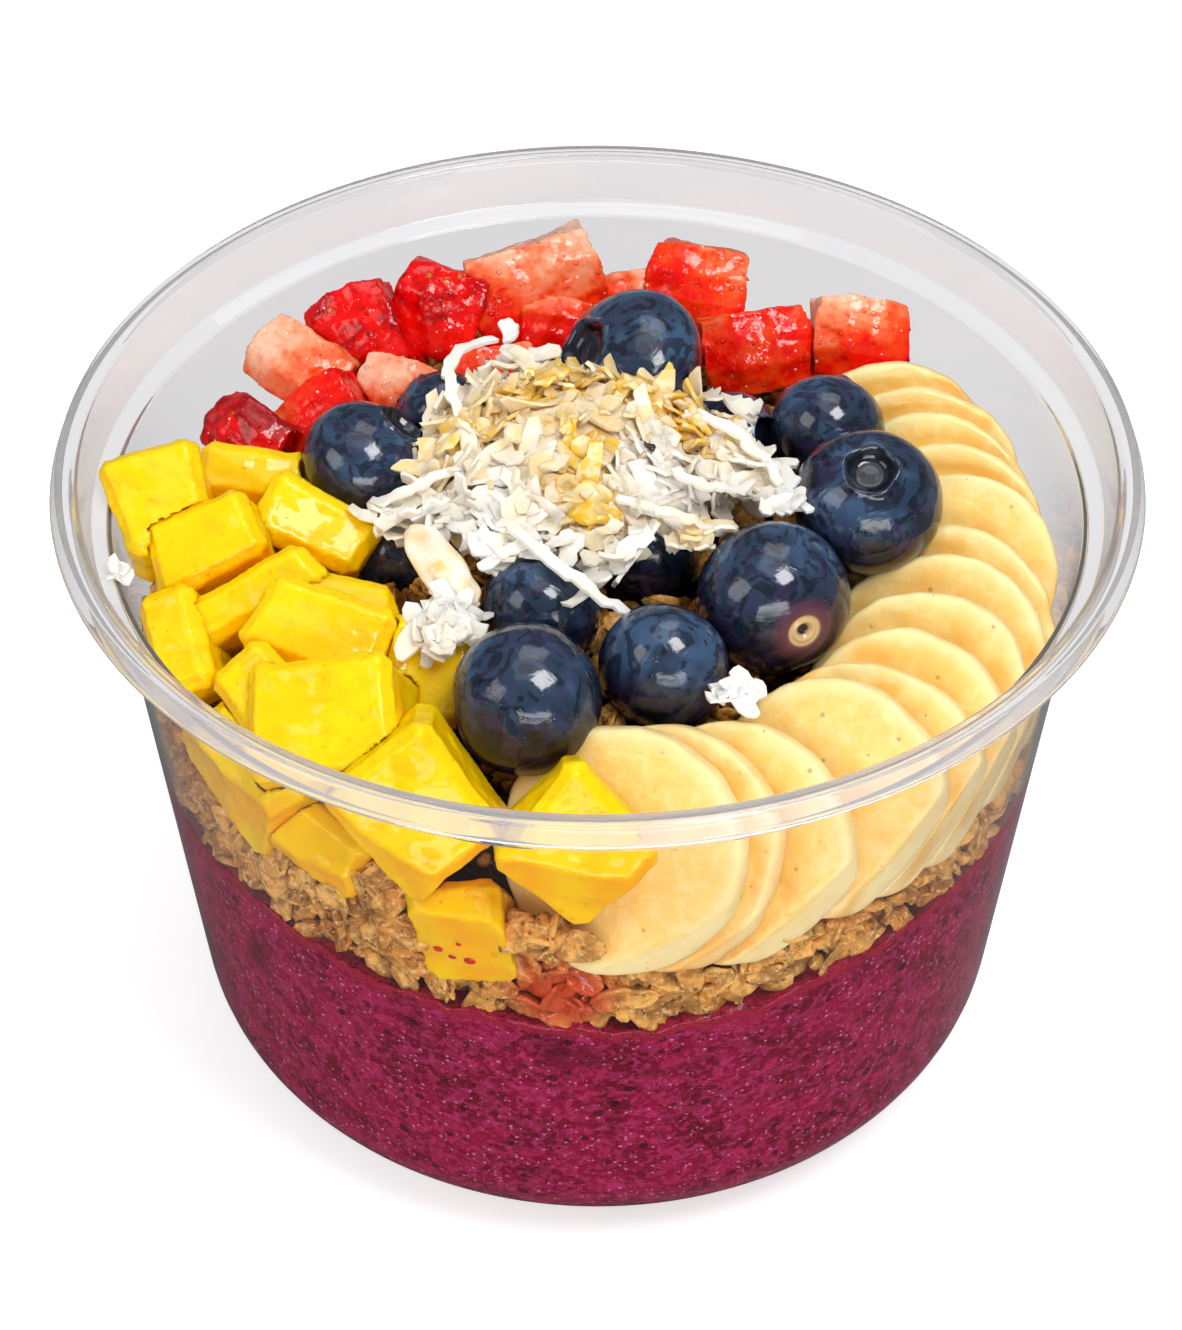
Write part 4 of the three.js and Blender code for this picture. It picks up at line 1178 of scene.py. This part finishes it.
def strandShape(seed, width, through):
    # a long shred bent along a curve through three points, in place
    length = 20.0
    piece = ribbon(seed, length, 0.75 * width, 20, 0.4, 0.45)
    a, b, c = (Vector(p) for p in through)
    m = (4 * b - a - c) / 2
    for vertex in piece.data.vertices:
        p = vertex.co / mm
        t = p.x / length + 0.5
        point = curved(a, m, c, t)
        along = (m - a) * 2 * (1 - t) + (c - m) * 2 * t
        side = Vector((0, 0, 1)).cross(along).normalized()
        lift = along.cross(side).normalized()
        bend = Vector((noise.noise(point * 0.5), noise.noise(point * 0.5 + Vector((7, 0, 0))), 0)) * 0.9
        vertex.co = (point + bend + side * p.y + lift * p.z) * mm
    return piece


def honeyAt(at):
    # how much honey lies at a place on the heap, 0 to 1
    share = 0.0
    for x, y, radius in coconut["honeyed"]:
        share += 1.2 * math.exp(-((at.x - x) ** 2 + (at.y - y) ** 2) / (1.3 * radius * radius))
    return min(1.0, share) if at.z > coconut["floor"] + 2.5 else 0.0


def makeHeap():
    # the heap's body: an uneven dome cut flat below
    piece = begun(bpy.ops.mesh.primitive_ico_sphere_add, subdivisions=5, radius=mm)
    piece.name = "coconut_heap"
    centre, reach = Vector(coconut["at"]), coconut["reach"]
    for vertex in piece.data.vertices:
        p = vertex.co / mm
        uneven = 0.84 + 0.08 * noise.noise(p * 2.2) + 0.05 * noise.noise(p * 6)
        vertex.co = (centre + Vector((p.x * reach[0], p.y * reach[1], p.z * reach[2])) * uneven) * mm
    bpy.ops.object.mode_set(mode="EDIT")
    bpy.ops.mesh.select_all(action="SELECT")
    cut = (0, 0, coconut["floor"] * mm)
    bpy.ops.mesh.bisect(plane_co=cut, plane_no=(0, 0, 1), use_fill=True, clear_inner=True)
    bpy.ops.object.mode_set(mode="OBJECT")
    roughen(1.2, 0.9)
    tag(piece, "tone", [0.6 * honeyAt(v.co / mm) for v in piece.data.vertices])
    return piece


def lieOn(at, normal, draw, lean):
    # a matrix that lays a shred on a slope, with some random lean
    tilt = Vector((draw.gauss(0, lean), draw.gauss(0, lean), draw.gauss(0, lean)))
    turn = (normal + tilt).normalized().to_track_quat("Z", "Y").to_matrix().to_4x4()
    size = draw.uniform(0.8, 1.15)
    spun = Matrix.Rotation(draw.uniform(0, 6.28), 4, "Z")
    return Matrix.Translation(at * mm) @ turn @ spun @ Matrix.Scale(size, 4)


def onDome(x, y, share):
    # a place on the heap's top and the way it faces
    centre, reach = Vector(coconut["at"]), coconut["reach"]
    dx, dy = (x - centre.x) / reach[0], (y - centre.y) / reach[1]
    dz = math.sqrt(max(0.02, 1 - dx * dx - dy * dy))
    at = Vector((x, y, centre.z + reach[2] * dz * share))
    return at, Vector((dx / reach[0], dy / reach[1], dz / reach[2])).normalized()


def makeShreds():
    shapes = [shredShape(i + 1, *row[:2]) for i, row in enumerate(coconut["shreds"])]
    kinds, shares = range(len(shapes)), [row[2] for row in coconut["shreds"]]
    small, mostly = len(shapes) - 1, (0, 2, 4, 5, 7)
    draw = random.Random(9)
    centre, reach = Vector(coconut["at"]), coconut["reach"]
    places = []
    while len(places) < coconut["flakes"]:
        angle, out = draw.uniform(0, 2 * math.pi), math.sqrt(draw.random()) * 1.03
        x, y = out * reach[0] * math.cos(angle), out * reach[1] * math.sin(angle)
        at, normal = onDome(centre.x + x, centre.y + y, 0.88)
        at += normal * (0.9 * noise.noise(at * 0.35) - draw.uniform(0, 1.2))
        if inside(berryTree, at * mm):
            continue
        tone = min(1.0, honeyAt(at) * draw.uniform(0.6, 1.2))
        places.append((draw.choices(kinds, shares)[0], lieOn(at, normal, draw, 0.38), tone))
    for x, y, z, spread, count in coconut["clumps"]:
        for i in range(count):
            loose = spread * 0.6
            away = Vector((draw.gauss(0, loose), draw.gauss(0, loose), draw.gauss(0, 0.3 + 0.15 * spread)))
            at = Vector((x, y, z)) + away
            if inside(berryTree, at * mm):
                continue
            kind = small if spread < 1 else draw.choice(mostly)
            places.append((kind, lieOn(at, Vector((0, 0, 1)), draw, 0.45), 0.6 * honeyAt(at)))
    bits = scattered("coconut_shreds", shapes, places)
    discard(shapes)
    strands = [strandShape(40 + i, width, through) for i, (width, through) in enumerate(coconut["strands"])]
    for strand in strands:
        tag(strand, "tone", [0.05] * len(strand.data.vertices))
    whole = joined([bits] + strands, "coconut_shreds")
    for vertex in whole.data.vertices:
        vertex.co.z = min(vertex.co.z, coconut["top"] * mm)
    return whole


def makePools():
    # honey that has settled on the heap, with a few dark specks in it
    draw = random.Random(77)
    pieces = []
    spots = [(x, y, long, wide, 0.62, 1.02, 4, 0.0) for x, y, long, wide in glaze["pools"]]
    spots += [(x, y, 0.9, 0.35, 0.35, 1.06, 2, 1.0) for x, y in glaze["specks"]]
    for x, y, long, wide, deep, proud, finer, dark in spots:
        piece = begun(bpy.ops.mesh.primitive_ico_sphere_add, subdivisions=finer, radius=mm)
        at, normal = onDome(x, y, proud)
        turn = normal.to_track_quat("Z", "Y").to_matrix() @ Matrix.Rotation(draw.uniform(0, 3.1), 3, "Z")
        for vertex in piece.data.vertices:
            p = vertex.co / mm
            ragged = 1 + 0.45 * noise.noise(Vector((p.x, p.y, x)) * 1.4)
            ragged += 0.15 * noise.noise(Vector((p.x, p.y, y)) * 4)
            low = 0.5 * noise.noise(Vector((p.x * 2, p.y * 2, x)))
            flat = Vector((p.x * long * ragged, p.y * wide * ragged, p.z * deep + low))
            vertex.co = (at + turn @ flat) * mm
            vertex.co.z = min(vertex.co.z, coconut["top"] * mm)
        tag(piece, "dark", [dark] * len(piece.data.vertices))
        pieces.append(piece)
    return joined(pieces, "honey_pools")


def makeAlmond():
    # a toasted bit that leans on the heap's front left
    a, c = Vector(almond["from"]), Vector(almond["to"])
    piece = begun(bpy.ops.mesh.primitive_uv_sphere_add, segments=24, ring_count=18, radius=mm)
    piece.name = "almond_bit"
    along = (c - a).normalized()
    side = Vector((0, 0, 1)).cross(along).normalized()
    lift = along.cross(side)
    for vertex in piece.data.vertices:
        p = vertex.co / mm
        uneven = 1 + 0.4 * noise.noise(p * 1.5) + 0.15 * noise.noise(p * 4)
        reach = p.z * (a - c).length * 0.55 + 0.5 * noise.noise(p * 3)
        across = side * p.x * almond["wide"] + lift * p.y * almond["deep"]
        vertex.co = ((a + c) / 2 + along * reach + across * uneven) * mm
    tag(piece, "tone", [0.38 + 0.5 * noise.noise(v.co / mm * 0.45) for v in piece.data.vertices])
    applied("SUBSURF", levels=1, render_levels=1)
    return piece


def makeCoconutFlesh():
    material, tree, shader = newMaterial("coconutFlesh")
    tone = attribute(tree, "tone")
    small, broad = patches(tree, 600.0, 0.4, 0.66), patches(tree, 150.0, 0.45, 0.62)
    uneven = maths(tree, "ADD", small["Mask"], 0.5, clamp=True)
    colour = layered(
        tree, coconut["white"], (broad["Mask"], 0.5, coconut["cream"]), (tone, 0.6, coconut["cream"]),
        (maths(tree, "MULTIPLY", tone, uneven), 1, coconut["honey"]),
    )
    setShader(tree, shader, {
        "Base Color": colour, "Roughness": 0.4, "Specular IOR Level": 0.3, "Subsurface Weight": 0.4,
        "Subsurface Radius": (1.0, 0.92, 0.8), "Subsurface Scale": 0.0012,
        "Coat Weight": maths(tree, "MULTIPLY_ADD", tone, 0.7, 0.2), "Coat Roughness": 0.08,
        "Normal": bumped(tree, small["Height"], 0.25, 0.7),
    })
    return material


def makeGlaze():
    material, tree, shader = newMaterial("honeyGlaze")
    colour = layered(
        tree, glaze["colour"], (patches(tree, 320.0, 0.4, 0.6)["Mask"], 0.6, coconut["cream"]),
        (attribute(tree, "dark"), 1, glaze["speck"]),
    )
    setShader(tree, shader, {
        "Base Color": colour, "Roughness": 0.2, "Subsurface Weight": 0.5,
        "Subsurface Radius": (1.0, 0.6, 0.1), "Subsurface Scale": 0.0015, "Coat Weight": 1.0,
        "Coat Roughness": 0.03, "Normal": bumped(tree, wetness(tree, 300.0, 900.0), 0.3, 0.8),
    })
    return material


coconutFlesh = makeCoconutFlesh()
finishPiece(makeHeap(), coconutFlesh, "coconut", "coconut", angle=50)
finishPiece(makeShreds(), coconutFlesh, "coconut", angle=60)
finishPiece(makeAlmond(), coconutFlesh, "coconut")
finishPiece(makePools(), makeGlaze(), "coconut")
print("coconut done")

drops = {
    "juice": (0.55, 0.002, 0.004), "thin": (0.75, 0.01, 0.004),
    # x, height and radius of drops on the fruit behind the front wall
    "at": [
        (-16.4, 49.2, 0.55), (-14.9, 48.4, 0.45), (-13.1, 48.2, 0.65), (-14.2, 50.6, 0.3),
        (-16.0, 52.0, 0.25),
    ],
}


def makeDrops():
    pieces = []
    for i, (x, z, radius) in enumerate(drops["at"]):
        hit = fruitTree.ray_cast(Vector((x, -60, z)) * mm, Vector((0, 1, 0)))
        if hit[0] is None:
            continue
        piece = begun(bpy.ops.mesh.primitive_ico_sphere_add, subdivisions=3, radius=radius * mm)
        turn = hit[1].to_track_quat("Z", "Y").to_matrix()
        for vertex in piece.data.vertices:
            p = vertex.co / mm
            uneven = 1 + 0.35 * noise.noise(Vector((p.x, p.y, i * 4.0)) * 1.5)
            vertex.co = hit[0] + turn @ (Vector((p.x * uneven, p.y * 0.8 * uneven, p.z * 0.35)) * mm)
        pieces.append(piece)
    return joined(pieces, "juice_drops")


def makeJuice():
    material, tree, shader = newMaterial("berryJuice")
    tint = patches(tree, 700.0, 0.4, 0.6)
    setShader(tree, shader, {
        "Base Color": blended(tree, tint["Mask"], drops["juice"], drops["thin"]), "Roughness": 0.15,
        "Coat Weight": 0.8, "Coat Roughness": 0.03, "Normal": bumped(tree, tint["Height"], 0.1, 0.4),
    })
    return material


finishPiece(makeDrops(), makeJuice(), "mango")
print("drops done")

studio = {
    "floor": (0.72, 0.72, 0.72), "mirror": (0.30, 0.30, 0.30), "glow": 0.545,
    "through": 0.01, "glimpse": (1.0, 0.62, 0.55),  # the floor's glow as seen through the clear plastic
    "sky": 0.66, "horizon": 0.34, "mirrored": 0.3, "patch": 0.9, "air": (0.96, 0.98, 1.0),
    # toward, how far away, size, watts
    "boxes": {
        "key": ((0.30, -0.30, 0.90), 0.9, (0.34, 0.34), 3.9),
        "fill": ((-0.75, -0.35, 0.55), 1.1, (0.5, 0.5), 1.8),
        "top": ((0.1, 0.45, 1.0), 1.0, (0.5, 0.4), 1.0),
        "front": ((0.1, -1.0, 0.22), 0.9, (0.8, 0.3), 3.4),
    },
}


def makeFloor():
    floor = begun(bpy.ops.mesh.primitive_plane_add, size=4, location=(0, 0, 0))
    floor.name = "floor"
    material, tree, shader = newMaterial("paper")
    ray = node(tree, "ShaderNodeLightPath")
    seen, through = ray.outputs["Is Camera Ray"], ray.outputs["Is Transmission Ray"]
    mirrored = maths(tree, "MINIMUM", ray.outputs["Glossy Depth"], 1)
    glow = maths(tree, "MULTIPLY", seen, studio["glow"])
    glow = maths(tree, "MULTIPLY_ADD", through, studio["through"], glow)
    setShader(tree, shader, {
        "Base Color": blended(tree, mirrored, studio["floor"], studio["mirror"]), "Roughness": 0.9,
        "Specular IOR Level": 0.0, "Emission Strength": glow,
        "Emission Color": blended(tree, seen, studio["glimpse"], (1, 1, 1)),
    })
    floor.data.materials.append(material)


def makeSoftbox(name, toward, away, size, watts):
    lamp = bpy.data.lights.new(name, "AREA")
    lamp.shape = "RECTANGLE"
    lamp.size, lamp.size_y = size
    lamp.energy = watts
    box = bpy.data.objects.new(name, lamp)
    bpy.context.collection.objects.link(box)
    direction = Vector(toward).normalized()
    box.location = Vector((0, 0, 0.07)) + direction * away
    box.rotation_euler = (-direction).to_track_quat("-Z", "Y").to_euler()


def makeSky():
    # brighter overhead than at the horizon, and dimmer in what mirrors it
    world = bpy.data.worlds.new("studio")
    bpy.context.scene.world = world
    world.use_nodes = True
    tree = world.node_tree
    way = node(tree, "ShaderNodeTexCoord").outputs["Generated"]
    up = node(tree, "ShaderNodeSeparateXYZ", {0: way}).outputs[2]
    brighter = studio["sky"] - studio["horizon"]
    level = maths(tree, "MULTIPLY_ADD", stepped(tree, up, 0.0, 0.9), brighter, studio["horizon"])
    ray = node(tree, "ShaderNodeLightPath")
    mirrored = maths(tree, "MINIMUM", ray.outputs["Glossy Depth"], 1)
    dim = maths(tree, "MULTIPLY_ADD", mirrored, studio["mirrored"] - 1, 1)
    # wet things mirror one bright patch overhead
    overhead = maths(tree, "MULTIPLY", stepped(tree, up, 0.93, 0.96), mirrored)
    patch = maths(tree, "MULTIPLY", overhead, studio["patch"])
    back = tree.nodes["Background"]
    back.inputs[0].default_value = (*studio["air"], 1)
    tree.links.new(maths(tree, "MULTIPLY_ADD", level, dim, patch), back.inputs[1])


makeFloor()
for name, box in studio["boxes"].items():
    makeSoftbox(name, *box)
makeSky()
print("floor and light done")
